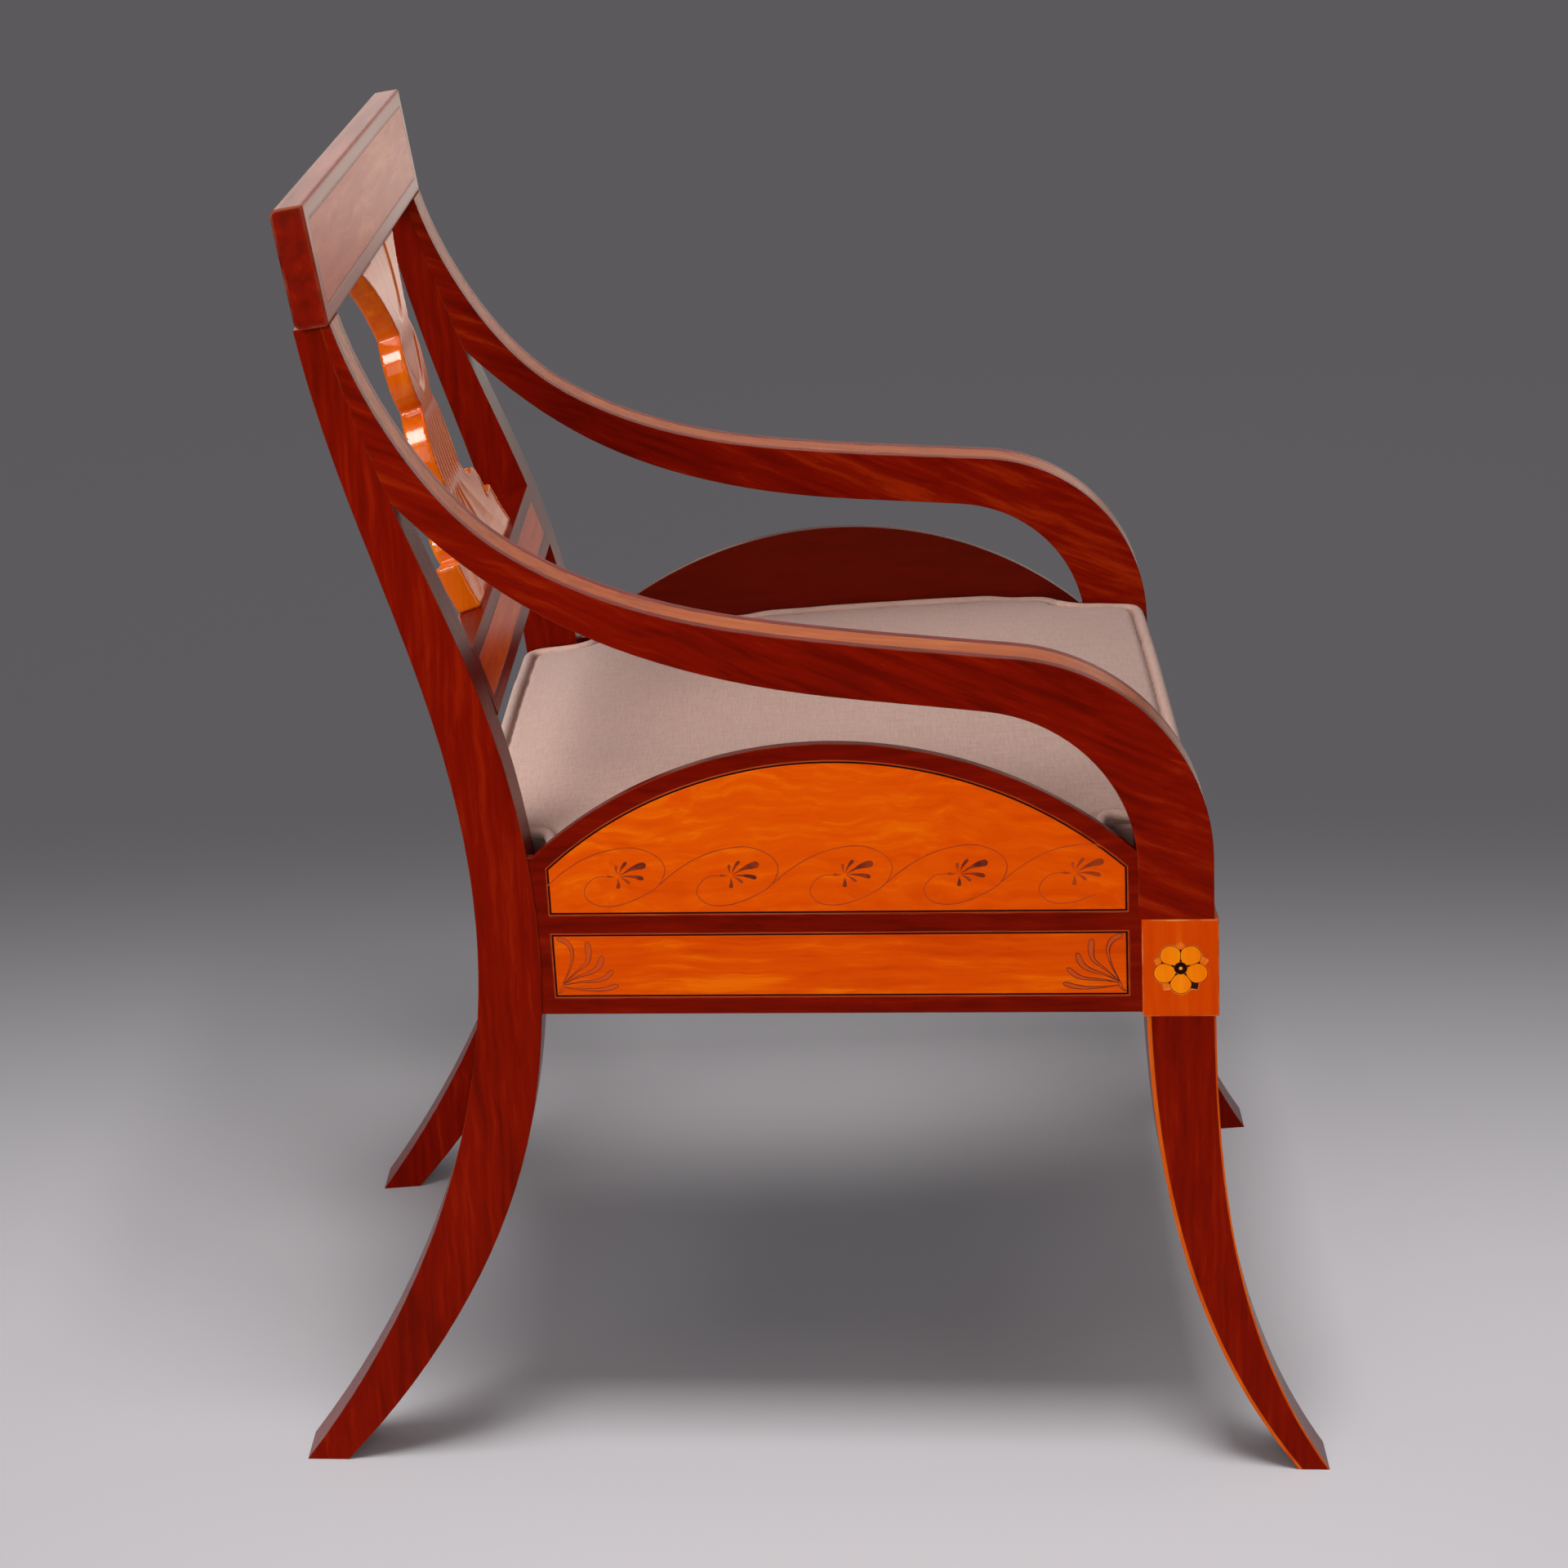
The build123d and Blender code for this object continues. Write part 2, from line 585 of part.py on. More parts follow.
crest = CREST_PLANE * Pos(0, CREST_HEIGHT / 2.0, -CREST_DEPTH / 2.0) * Box(
    2.0 * CREST_HALF, CREST_HEIGHT, CREST_DEPTH
)
crest_back = crest.faces().sort_by(Axis.Y)[-1]
crest_long = crest_back.edges().filter_by(Axis.X)
crest = fillet(crest_long, CREST_ROUND)
crest_front_edges = crest.faces().sort_by(Axis.Y)[0].edges()
crest = fillet(crest_front_edges, CREST_EASE)
crest_panel = crest_box(
    CREST_HALF - CREST_BORDER, CREST_BORDER, CREST_HEIGHT - CREST_BORDER, 0.0, VENEER
)
crest = crest - crest_panel


# Stay rail with its panel
def stay_box(bottom, top, front, back, inset):
    """Box in the stay rail's frame, cut off at an inset from the side frames."""
    middle = Pos(0, (bottom + top) / 2.0, -(front + back) / 2.0)
    return STAY_PLANE * middle * Box(2.0 * REACH, top - bottom, back - front) & between(inset)


stay = stay_box(-STAY_HEIGHT / 2.0, STAY_HEIGHT / 2.0, 0.0, STAY_DEPTH, PLANK)
stay_panel = stay_box(
    STAY_BORDER - STAY_HEIGHT / 2.0, STAY_HEIGHT / 2.0 - STAY_BORDER, 0.0, VENEER, PLANK + STAY_BORDER
)
stay = stay - stay_panel


# Splat
def splat_face():
    foot = (SPLAT_FOOT_HALF, 0.0)
    base = (SPLAT_FOOT_HALF, -TONGUE)
    head = (SPLAT_HEAD_HALF, SPLAT_LENGTH)
    crown = (SPLAT_HEAD_HALF, SPLAT_LENGTH + TONGUE)
    tip = (SPLAT_TIP_HALF, SPLAT_TIP_UP)
    notch = (SPLAT_NOTCH_HALF, SPLAT_NOTCH_UP)
    leaf = (SPLAT_LEAF_HALF, SPLAT_LEAF_UP)
    stem = (SPLAT_STEM_HALF, SPLAT_STEM_UP)
    low_neck = (SPLAT_LOW_NECK_HALF, SPLAT_LOW_NECK_UP)
    high_neck = (SPLAT_HIGH_NECK_HALF, SPLAT_HIGH_NECK_UP)
    right = [
        Line(base, foot),
        Line(foot, tip),
        Line(tip, notch),
        ThreePointArc(notch, (SPLAT_CURL_HALF, SPLAT_CURL_UP), leaf),
        ThreePointArc(leaf, (SPLAT_AXIL_HALF, SPLAT_AXIL_UP), stem),
        ThreePointArc(stem, (SPLAT_LOW_LOBE_HALF, SPLAT_LOW_LOBE_UP), low_neck),
        ThreePointArc(low_neck, (SPLAT_HIGH_LOBE_HALF, SPLAT_HIGH_LOBE_UP), high_neck),
        ThreePointArc(high_neck, (SPLAT_FLARE_HALF, SPLAT_FLARE_UP), head),
        Line(head, crown),
    ]
    left = [mirror(edge, about=Plane.YZ) for edge in right]
    ends = [Line((-base[0], base[1]), base), Line((-crown[0], crown[1]), crown)]
    return make_face(right + left + ends)


def splat_bow():
    """Side view of the splat's thickness: a bowed strip from stay rail to crest rail."""
    stations = (
        (-TONGUE, SPLAT_FOOT_SET),
        (SPLAT_HOLLOW_UP, SPLAT_HOLLOW_SET),
        (SPLAT_SWELL_UP, SPLAT_SWELL_SET),
        (SPLAT_LENGTH + TONGUE, SPLAT_HEAD_SET),
    )
    front = []
    rear = []
    for rise, set_back in stations:
        near = SPLAT_FOOT + SPLAT_UP * rise - SPLAT_OUT * set_back
        away = near - SPLAT_OUT * SPLAT_DEPTH
        front.append((near.Y, near.Z))
        rear.append((away.Y, away.Z))
    return make_face([
        Spline(*front), Line(front[-1], rear[-1]), Spline(*reversed(rear)), Line(rear[0], front[0])
    ])


BELOW_STAY = STAY_PLANE * Pos(0, STAY_HEIGHT / 2.0 - TALL / 2.0, 0) * Box(4.0 * REACH, TALL, TALL)


def crest_tongue(fit):
    half = SPLAT_HEAD_HALF - TONGUE_SIDE + fit
    front = SPLAT_HEAD_SET + (SPLAT_DEPTH - TONGUE) / 2.0
    return crest_box(half, -fit, TONGUE + fit, front - fit, front + TONGUE + fit)


def stay_tongue(fit):
    half = SPLAT_FOOT_HALF - TONGUE_SIDE + fit
    middle = Pos(0, (STAY_HEIGHT - TONGUE) / 2.0, -(SPLAT_FOOT_SET + SPLAT_DEPTH / 2.0))
    return STAY_PLANE * middle * Box(2.0 * half, TONGUE + 2.0 * fit, TONGUE + 2.0 * fit)


splat_blank = extrude(SPLAT_PLANE * splat_face(), amount=SPLAT_LENGTH, both=True)
splat = splat_blank & across(splat_bow(), REACH)
splat = splat - ABOVE_CREST - BELOW_STAY
splat = splat + crest_tongue(0.0) + stay_tongue(0.0)
crest = crest - crest_tongue(TONGUE_FIT)
stay = stay - stay_tongue(TONGUE_FIT)

# Seat rails
front_rail = across(rect(FRONT_RAIL_FRONT, FRONT_RAIL_BACK, RAIL_BOTTOM, SEAT_TOP), REACH) & between(PLANK)
rear_rail = across(rect(REAR_RAIL_FRONT, REAR_RAIL_BACK, RAIL_BOTTOM, SEAT_TOP), REACH) & between(PLANK)


def front_panel(inset):
    """Outline of the front rail's panel, seen from the front."""
    half = half_width(FRONT_RAIL_FRONT, PLANK) - PANEL_SIDE - inset
    return rect(-half, half, LOWER_BOTTOM + inset, LOWER_TOP - inset)


FRONT_FACE = Plane(origin=(0, FRONT_RAIL_FRONT, 0), x_dir=(1, 0, 0), z_dir=(0, -1, 0))
front_inlay = [extrude(FRONT_FACE * face, amount=-VENEER) for face in lines_and_panel(front_panel)]
front_rail = front_rail - extrude(FRONT_FACE * front_panel(0.0), amount=-VENEER)

# Side seat rails behind the side boards, up to the level of the cross straps
side_rail = side(
    rect(BLOCK_REAR, POST_KNEE_FRONT + FORK_LAP, RAIL_BOTTOM, STRAP_LEVEL), BOARD_INNER, RAIL_DEPTH
)
side_rail = side_rail - post - arm


# Corner blocks
def corner_block(rail_face, way):
    """Three-cornered block between a seat rail and the side rail, running inwards along Y."""
    at_rail = -half_width(rail_face, SIDE_RAIL_INNER)
    tip_y = rail_face + way * CORNER_LEG
    outline = Polyline(
        (at_rail, rail_face),
        (at_rail + CORNER_LEG, rail_face),
        (-half_width(tip_y, SIDE_RAIL_INNER), tip_y),
        close=True,
    )
    prism = Pos(0, 0, CORNER_BOTTOM) * extrude(make_face(outline), amount=CORNER_HEIGHT)
    return prism - block - post


corner_front = corner_block(FRONT_RAIL_BACK, 1.0)
corner_rear = corner_block(REAR_RAIL_FRONT, -1.0)


# Dowels: each joint gives pins, and holes that are cut from the pieces they enter
def drill(piece, holes):
    for hole in holes:
        piece = piece - hole
    return piece


def rail_heights():
    low = RAIL_BOTTOM + RAIL_DOWEL_RISE
    return (low, low + RAIL_DOWEL_PITCH)


def upright_pegs(level):
    """Two upright dowels through a level joint of the front block."""
    rear = BLOCK_REAR - DOWEL_SHORT - DOWEL_END - DOWEL_WALL - DOWEL_R - DOWEL_FIT
    places = (rear - UPRIGHT_PITCH, rear)
    return [peg(on_side(y, level, UPRIGHT_INSET), (0, 0, 1), DOWEL_LONG, DOWEL_LONG) for y in places]


def rail_pegs(middle):
    """Two dowels from a seat rail into the block or post beside it."""
    return [peg(on_side(middle, z, PLANK), (1, 0, 0), DOWEL_SHORT, DOWEL_LONG) for z in rail_heights()]


def side_rail_pegs(joint, into):
    """Two dowels from the side rail into the block or post at its end."""
    inset = BOARD_INNER + RAIL_DEPTH / 2.0
    return [peg(on_side(joint, z, inset), (0, into, 0), DOWEL_LONG, DOWEL_SHORT) for z in rail_heights()]


def stay_pegs():
    """Two dowels from the stay rail into the post."""
    pegs = []
    for rise in (-STAY_HEIGHT / 4.0, STAY_HEIGHT / 4.0):
        middle = STAY_CENTRE + STAY_UP * rise - STAY_OUT * (STAY_DEPTH / 2.0)
        start = (-half_width(middle.Y, PLANK), middle.Y, middle.Z)
        pegs.append(peg(start, (1, 0, 0), DOWEL_SHORT, DOWEL_LONG))
    return pegs


def crest_pegs():
    """Two dowels from the post's top into the crest rail."""
    depth = (CREST_DEPTH + ARM_FEATHER) / 2.0
    joint = Vector(0, CREST_FRONT, CREST_BOTTOM) - CREST_OUT * depth
    insets = (CREST_DOWEL_SIDE, PLANK - CREST_DOWEL_SIDE)
    places = [(-half_width(joint.Y, inset), joint.Y, joint.Z) for inset in insets]
    return [peg(place, CREST_UP, DOWEL_LONG, DOWEL_LONG) for place in places]


def arm_pegs():
    """Two dowels from the arm into the post above the fork."""
    rise = ARM_DOWEL_DROP / (POST_TOP_Z - POST_FORK_Z)
    joint_y = POST_FORK_FRONT + rise * (POST_TOP_FRONT - POST_FORK_FRONT)
    insets = (CREST_DOWEL_SIDE, PLANK - CREST_DOWEL_SIDE)
    places = [on_side(joint_y, POST_FORK_Z + ARM_DOWEL_DROP, inset) for inset in insets]
    return [peg(place, (0, 1, 0), DOWEL_SHORT, DOWEL_SHORT) for place in places]


def pins(pegs):
    return [pin for pin, hole in pegs]


def holes(pegs):
    return [hole for pin, hole in pegs]


def holes_both(pegs):
    return holes(pegs) + [left_of(hole) for hole in holes(pegs)]


arm_foot_pegs = upright_pegs(SEAT_TOP)
leg_pegs = upright_pegs(BLOCK_BOTTOM)
front_rail_pegs = rail_pegs((FRONT_RAIL_FRONT + FRONT_RAIL_BACK) / 2.0)
rear_rail_pegs = rail_pegs((REAR_RAIL_FRONT + REAR_RAIL_BACK) / 2.0)
side_front_pegs = side_rail_pegs(BLOCK_REAR, -1.0)
side_rear_pegs = side_rail_pegs(POST_KNEE_FRONT, 1.0)
stay_post_pegs = stay_pegs()
crest_post_pegs = crest_pegs()
arm_post_pegs = arm_pegs()

block = drill(block, holes(arm_foot_pegs + leg_pegs + front_rail_pegs + side_front_pegs))
arm = drill(arm, holes(arm_foot_pegs + arm_post_pegs))
leg = drill(leg, holes(leg_pegs))
post = drill(post, holes(rear_rail_pegs + side_rear_pegs + stay_post_pegs))
post = drill(post, holes(crest_post_pegs + arm_post_pegs))
side_rail = drill(side_rail, holes(side_front_pegs + side_rear_pegs))
front_rail = drill(front_rail, holes_both(front_rail_pegs))
rear_rail = drill(rear_rail, holes_both(rear_rail_pegs))
stay = drill(stay, holes_both(stay_post_pegs))
crest = drill(crest, holes_both(crest_post_pegs))


# Screws of the corner blocks
def corner_screws(rail_face, way):
    level = CORNER_BOTTOM + CORNER_HEIGHT / 2.0
    x = -half_width(rail_face, SIDE_RAIL_INNER) + CORNER_SCREW_SIDE
    seat_y = rail_face + way * CORNER_SCREW_SEAT
    set_of = []
    for rise in (-CORNER_SCREW_PITCH / 2.0, CORNER_SCREW_PITCH / 2.0):
        place = (x, seat_y, level + rise)
        set_of.append(screw(place, (0, -way, 0), CORNER_SCREW_SEAT + CORNER_SCREW_BITE, CORNER_LEG))
    return set_of


front_set = corner_screws(FRONT_RAIL_BACK, 1.0)
rear_set = corner_screws(REAR_RAIL_FRONT, -1.0)
corner_front = drill(corner_front, holes(front_set))
corner_rear = drill(corner_rear, holes(rear_set))
front_rail = drill(front_rail, holes_both(front_set))
rear_rail = drill(rear_rail, holes_both(rear_set))


# Webbing: long straps from front to rear rail, cross straps over them between the side rails
def strap_places(pitch):
    return [(i - (STRAPS - 1) / 2.0) * pitch for i in range(STRAPS)]


strap_front = FRONT_RAIL_BACK - STRAP_LAP
strap_back = REAR_RAIL_FRONT + STRAP_LAP
straps = []
for x in strap_places(STRAP_PITCH_X):
    middle = Pos(x, (strap_front + strap_back) / 2.0, SEAT_TOP + STRAP / 2.0)
    straps.append(middle * Box(STRAP_WIDTH, strap_back - strap_front, STRAP))
cross_reach = between(SIDE_RAIL_INNER - STRAP_LAP)
for y in strap_places(STRAP_PITCH_Y):
    middle = Pos(0, y + ARCH_Y, STRAP_LEVEL + STRAP / 2.0)
    straps.append(middle * Box(2.0 * REACH, STRAP_WIDTH, STRAP) & cross_reach)


# Cushion: notched at the corners round posts and arm supports, full sides, crowned top
def cushion_outline(draw):
    """Plan of the cushion, drawn in all round."""
    narrow = PLANK + CUSHION_GAP + draw
    wide = BOARD_INNER + CUSHION_GAP + draw
    front = CUSHION_FRONT + draw
    shoulder = ARM_REAR + CUSHION_SHOULDER_GAP + draw
    hip = POST_KNEE_FRONT - CUSHION_HIP_GAP - draw
    rear = CUSHION_REAR - draw
    right = [
        (half_width(front, narrow), front),
        (half_width(shoulder, narrow), shoulder),
        (half_width(shoulder, wide), shoulder),
        (half_width(hip, wide), hip),
        (half_width(hip, narrow), hip),
        (half_width(rear, narrow), rear),
    ]
    left = [(-x, y) for x, y in reversed(right)]
    return make_face(Polyline(*(right + left), close=True))


def soft_outline(draw):
    """The same plan with rounded corners and softer creases."""
    plan = cushion_outline(draw)
    creases = [v for v in plan.vertices() if is_crease(v, draw)]
    plan = fillet(creases, CUSHION_CREASE)
    corners = [v for v in plan.vertices() if is_corner(v, draw)]
    return fillet(corners, CUSHION_CORNER)


def is_crease(vertex, draw):
    narrow = PLANK + CUSHION_GAP + draw
    y = vertex.Y
    inner = abs(abs(vertex.X) - half_width(y, narrow)) < INLAY_GAP
    return inner and CUSHION_FRONT + 2.0 * draw + INLAY_GAP < y < CUSHION_REAR - 2.0 * draw - INLAY_GAP


def is_corner(vertex, draw):
    plan = cushion_outline(draw)
    matches = [v for v in plan.vertices() if (Vector(v) - Vector(vertex)).length < INLAY_GAP]
    return bool(matches) and not is_crease(vertex, draw)


cushion_sections = [
    Pos(0, 0, CUSHION_BOTTOM) * soft_outline(CUSHION_DRAW_LOW),
    Pos(0, 0, CUSHION_BOTTOM + CUSHION_BELLY) * soft_outline(0.0),
    Pos(0, 0, CUSHION_CROWN) * soft_outline(CUSHION_DRAW_HIGH),
]
cushion = loft(cushion_sections)
cushion = cushion & Pos(0, CUSHION_CROWN_Y, CUSHION_CROWN - CUSHION_CROWN_R) * Sphere(CUSHION_CROWN_R)

cloth = Pos(0, 0, CLOTH_LEVEL) * extrude(cushion_outline(CLOTH_INSET), amount=CLOTH)


# Nodes
def solids_of(piece):
    return list(piece.solids())


def both(pieces):
    """Solids of the right-hand pieces and their mirror images."""
    return [s for p in pieces for s in solids_of(p) + solids_of(left_of(p))]


right_nodes = {
    "back_post": [post],
    "arm": [arm],
    "arm_banding": [arm_band],
    "front_leg": [leg],
    "leg_stringing": [leg_line_rear, leg_line_front],
    "front_block": [block],
    "flower_petals": petals,
    "flower_sepals": sepals,
    "flower_eye": [flower_eye],
    "flower_pip": [flower_pip],
    "side_board": [board],
    "lunette_panel": [lunette_inlay[2]],
    "lower_panel": [lower_inlay[2]],
    "light_stringing": [lunette_inlay[0], lower_inlay[0]],
    "dark_stringing": [lunette_inlay[1], lower_inlay[1]],
    "side_seat_rail": [side_rail],
}
nodes = {}
for name, pieces in right_nodes.items():
    nodes["right_" + name] = [s for p in pieces for s in solids_of(p)]
    nodes["left_" + name] = [s for p in pieces for s in solids_of(left_of(p))]

nodes.update({
    "crest_rail": solids_of(crest),
    "crest_panel": solids_of(crest_panel),
    "stay_rail": solids_of(stay),
    "stay_panel": solids_of(stay_panel),
    "splat": solids_of(splat),
    "front_seat_rail": solids_of(front_rail),
    "front_rail_panel": solids_of(front_inlay[2]),
    "front_light_stringing": solids_of(front_inlay[0]),
    "front_dark_stringing": solids_of(front_inlay[1]),
    "rear_seat_rail": solids_of(rear_rail),
    "corner_blocks": both([corner_front, corner_rear]),
    "corner_block_screws": both(pins(front_set + rear_set)),
    "arm_dowels": both(pins(arm_foot_pegs + arm_post_pegs)),
    "leg_dowels": both(pins(leg_pegs)),
    "side_rail_dowels": both(pins(side_front_pegs + side_rear_pegs)),
    "seat_rail_dowels": both(pins(front_rail_pegs + rear_rail_pegs)),
    "stay_rail_dowels": both(pins(stay_post_pegs)),
    "crest_rail_dowels": both(pins(crest_post_pegs)),
    "seat_webbing": [s for strap in straps for s in solids_of(strap)],
    "platform_cloth": solids_of(cloth),
    "seat_cushion": solids_of(cushion),
})

os.makedirs("parts", exist_ok=True)
for name, solids in nodes.items():
    export_step(Compound(children=solids), os.path.join("parts", name + ".step"))
    print(name, len(solids), round(sum(s.volume for s in solids)))
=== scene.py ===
# %% [markdown]
# # An Empire armchair, dressed
# The chair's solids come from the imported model, in metres and in one frame: +Z is up, the
# chair faces -Y, and the sitter's right hand is at -X. Nothing here moves a solid. This
# lesson gives each wood its figure and polish, fills the cushion, draws the pen-work on the
# panels, carves the splat, and sets the chair in a plain studio.

import math

import bmesh
import bpy
import numpy as np
from mathutils import Matrix, Vector
from mathutils.kdtree import KDTree


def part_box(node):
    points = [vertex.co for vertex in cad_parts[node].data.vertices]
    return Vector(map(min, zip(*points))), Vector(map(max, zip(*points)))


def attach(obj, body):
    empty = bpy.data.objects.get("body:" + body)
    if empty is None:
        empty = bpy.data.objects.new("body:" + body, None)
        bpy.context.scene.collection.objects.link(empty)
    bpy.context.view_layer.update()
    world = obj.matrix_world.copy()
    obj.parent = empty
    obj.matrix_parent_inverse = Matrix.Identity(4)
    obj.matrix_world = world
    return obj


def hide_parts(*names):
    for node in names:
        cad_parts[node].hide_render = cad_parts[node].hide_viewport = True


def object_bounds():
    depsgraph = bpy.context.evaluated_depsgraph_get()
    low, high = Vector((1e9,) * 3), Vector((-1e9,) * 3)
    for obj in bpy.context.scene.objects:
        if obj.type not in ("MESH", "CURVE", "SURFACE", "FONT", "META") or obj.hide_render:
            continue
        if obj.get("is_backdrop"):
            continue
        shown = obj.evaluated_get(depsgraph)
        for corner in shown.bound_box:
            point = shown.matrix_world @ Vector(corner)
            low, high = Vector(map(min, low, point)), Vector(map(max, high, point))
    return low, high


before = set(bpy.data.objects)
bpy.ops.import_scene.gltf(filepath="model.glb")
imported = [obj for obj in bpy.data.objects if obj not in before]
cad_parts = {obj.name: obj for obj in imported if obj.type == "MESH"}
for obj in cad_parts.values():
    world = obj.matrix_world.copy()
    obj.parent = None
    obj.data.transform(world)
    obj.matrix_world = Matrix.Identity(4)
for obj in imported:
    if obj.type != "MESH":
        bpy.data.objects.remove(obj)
CAD_LOW, CAD_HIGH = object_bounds()
scene = bpy.context.scene
scene.view_settings.view_transform = "Standard"
MM = 0.001


def linked(name, data):
    """New object in the scene that shows the data."""
    piece = bpy.data.objects.new(name, data)
    scene.collection.objects.link(piece)
    return piece


print("nodes:", len(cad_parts), "box:", [round(x, 3) for x in CAD_HIGH - CAD_LOW])

# %% [markdown]
# ## The camera
# The chair is seen from its right side and from above, with a long lens, so the far side is
# only a little smaller than the near one. A camera in Blender looks along its own -Z with +Y
# up. Its three axes are worked out from yaw, pitch and roll, and go straight into a matrix.

# %% Camera
IMAGE_SIDE = 1920
FOCAL_PIXELS = 4200.0
SENSOR = 36.0
CAMERA_PLACE = Vector((-2.24572, -0.07492, 1.19864))
YAW = 0.03489
PITCH = 0.34449
ROLL = -0.05081


def camera_axes(yaw, pitch, roll):
    """Right, up and forward directions of a camera that looks down by its pitch."""
    onward = Vector((math.cos(yaw), math.sin(yaw), 0.0))
    ahead = onward * math.cos(pitch) - Vector((0.0, 0.0, math.sin(pitch)))
    level = Vector((math.sin(yaw), -math.cos(yaw), 0.0))
    above = level.cross(ahead)
    right = math.cos(roll) * level + math.sin(roll) * above
    up = math.cos(roll) * above - math.sin(roll) * level
    return right, up, ahead


def add_camera():
    data = bpy.data.cameras.new("camera")
    data.sensor_width = SENSOR
    data.lens = SENSOR * FOCAL_PIXELS / IMAGE_SIDE
    data.clip_start = 0.05
    camera = linked("camera", data)
    right, up, ahead = camera_axes(YAW, PITCH, ROLL)
    turn = Matrix((right, up, -ahead)).transposed().to_4x4()
    camera.matrix_world = Matrix.Translation(CAMERA_PLACE) @ turn
    scene.camera = camera
    return camera


camera = add_camera()
print("lens mm:", round(camera.data.lens, 2))

# %% [markdown]
# ## Small helpers for shader nodes
# Every finish is a small node graph round one Principled BSDF. A few helpers keep the graphs
# short: they add a node with its values, make a material, make and place a node group, and
# combine numbers and colours, each given as a socket or as a plain value.

# %% Node helpers


def add(tree, kind, values=None, **settings):
    """New node with attributes set, and input values given by socket name or number."""
    node = tree.nodes.new(kind)
    for key, value in settings.items():
        setattr(node, key, value)
    for key, value in (values or {}).items():
        node.inputs[key].default_value = value
    return node


def new_material(name, **constants):
    """Material with a Principled BSDF whose plain values are set on its own sockets."""
    material = bpy.data.materials.new(name)
    material.use_nodes = True
    shader = material.node_tree.nodes["Principled BSDF"]
    for key, value in constants.items():
        shader.inputs[key.replace("_", " ")].default_value = value
    return material, material.node_tree, shader


def new_group(name, inputs, outputs):
    """Shader node group with named sockets: (name, type, default) in, (name, type) out."""
    group = bpy.data.node_groups.new(name, "ShaderNodeTree")
    for label, kind, default in inputs:
        socket = group.interface.new_socket(label, in_out="INPUT", socket_type=kind)
        if default is not None:
            socket.default_value = default
    for label, kind in outputs:
        group.interface.new_socket(label, in_out="OUTPUT", socket_type=kind)
    return group, group.nodes.new("NodeGroupInput"), group.nodes.new("NodeGroupOutput")


def place(tree, group, values):
    """Put a node group in a material, with its own values."""
    node = tree.nodes.new("ShaderNodeGroup")
    node.node_tree = group
    for key, value in values.items():
        node.inputs[key].default_value = value
    return node


def math_node(tree, operation, a, b=None, clamp=False):
    """Math node whose inputs are sockets or numbers; gives its output socket."""
    node = add(tree, "ShaderNodeMath", operation=operation, use_clamp=clamp)
    for index, value in enumerate((a, b)):
        if value is None:
            continue
        if isinstance(value, (int, float)):
            node.inputs[index].default_value = value
        else:
            tree.links.new(value, node.inputs[index])
    return node.outputs[0]


def remap(tree, value, low, high, to_low=0.0, to_high=1.0):
    """Smooth step of a value from one range to another."""
    node = add(tree, "ShaderNodeMapRange", interpolation_type="SMOOTHSTEP")
    tree.links.new(value, node.inputs["Value"])
    ends = (low, high, to_low, to_high)
    for key, end in zip(("From Min", "From Max", "To Min", "To Max"), ends):
        node.inputs[key].default_value = end
    return node.outputs["Result"]


def blend_colours(tree, factor, first, second, mode="MIX"):
    """Mix two colours, each a socket or four numbers; gives the mixed socket."""
    node = add(tree, "ShaderNodeMix", data_type="RGBA", blend_type=mode)
    for socket, value in ((node.inputs[0], factor), (node.inputs[6], first), (node.inputs[7], second)):
        if isinstance(value, (int, float, tuple)):
            socket.default_value = value
        else:
            tree.links.new(value, socket)
    return node.outputs[2]


def rgb(red, green, blue):
    """Scene-linear colour of an sRGB colour given in 0 to 255."""
    shares = [channel / 255.0 for channel in (red, green, blue)]
    linear = [s / 12.92 if s <= 0.04045 else ((s + 0.055) / 1.055) ** 2.4 for s in shares]
    return (*linear, 1.0)


# %% [markdown]
# ## Wood figure, as one group
# Both woods show the same three things at different strength: slow bands of colour, streaks
# that run along the grain, and fine pores. A noise that is stretched along one axis gives
# all three. The grain runs along X inside the group, so each material turns its own Object
# coordinates until the grain of that piece lies along X. Slow noise bends the streaks first,
# which makes the flame figure of a birch panel when it is strong.

# %% Wood figure group
STREAK_STRETCH = 0.06
PORE_STRETCH = 0.025
BAND_STRETCH = 0.22
STREAK_SHARE = 0.6
BEND_SCALE = 16.0
PORE_SCALE = 900.0
DARK_TONES = (0.36, 0.52)
LIGHT_TONES = (0.50, 0.66)
PORE_TONES = (0.60, 0.72)


def stretched_noise(tree, vector, stretch, scale, detail, seed):
    """Noise that is drawn out along X."""
    squeeze = add(tree, "ShaderNodeVectorMath", operation="MULTIPLY")
    squeeze.inputs[1].default_value = (stretch, 1.0, 1.0)
    tree.links.new(vector, squeeze.inputs[0])
    noise = add(tree, "ShaderNodeTexNoise", {"Detail": detail, "Roughness": 0.6}, noise_dimensions="4D")
    tree.links.new(squeeze.outputs[0], noise.inputs["Vector"])
    tree.links.new(seed, noise.inputs["W"])
    if isinstance(scale, (int, float)):
        noise.inputs["Scale"].default_value = scale
    else:
        tree.links.new(scale, noise.inputs["Scale"])
    return noise.outputs["Fac"]


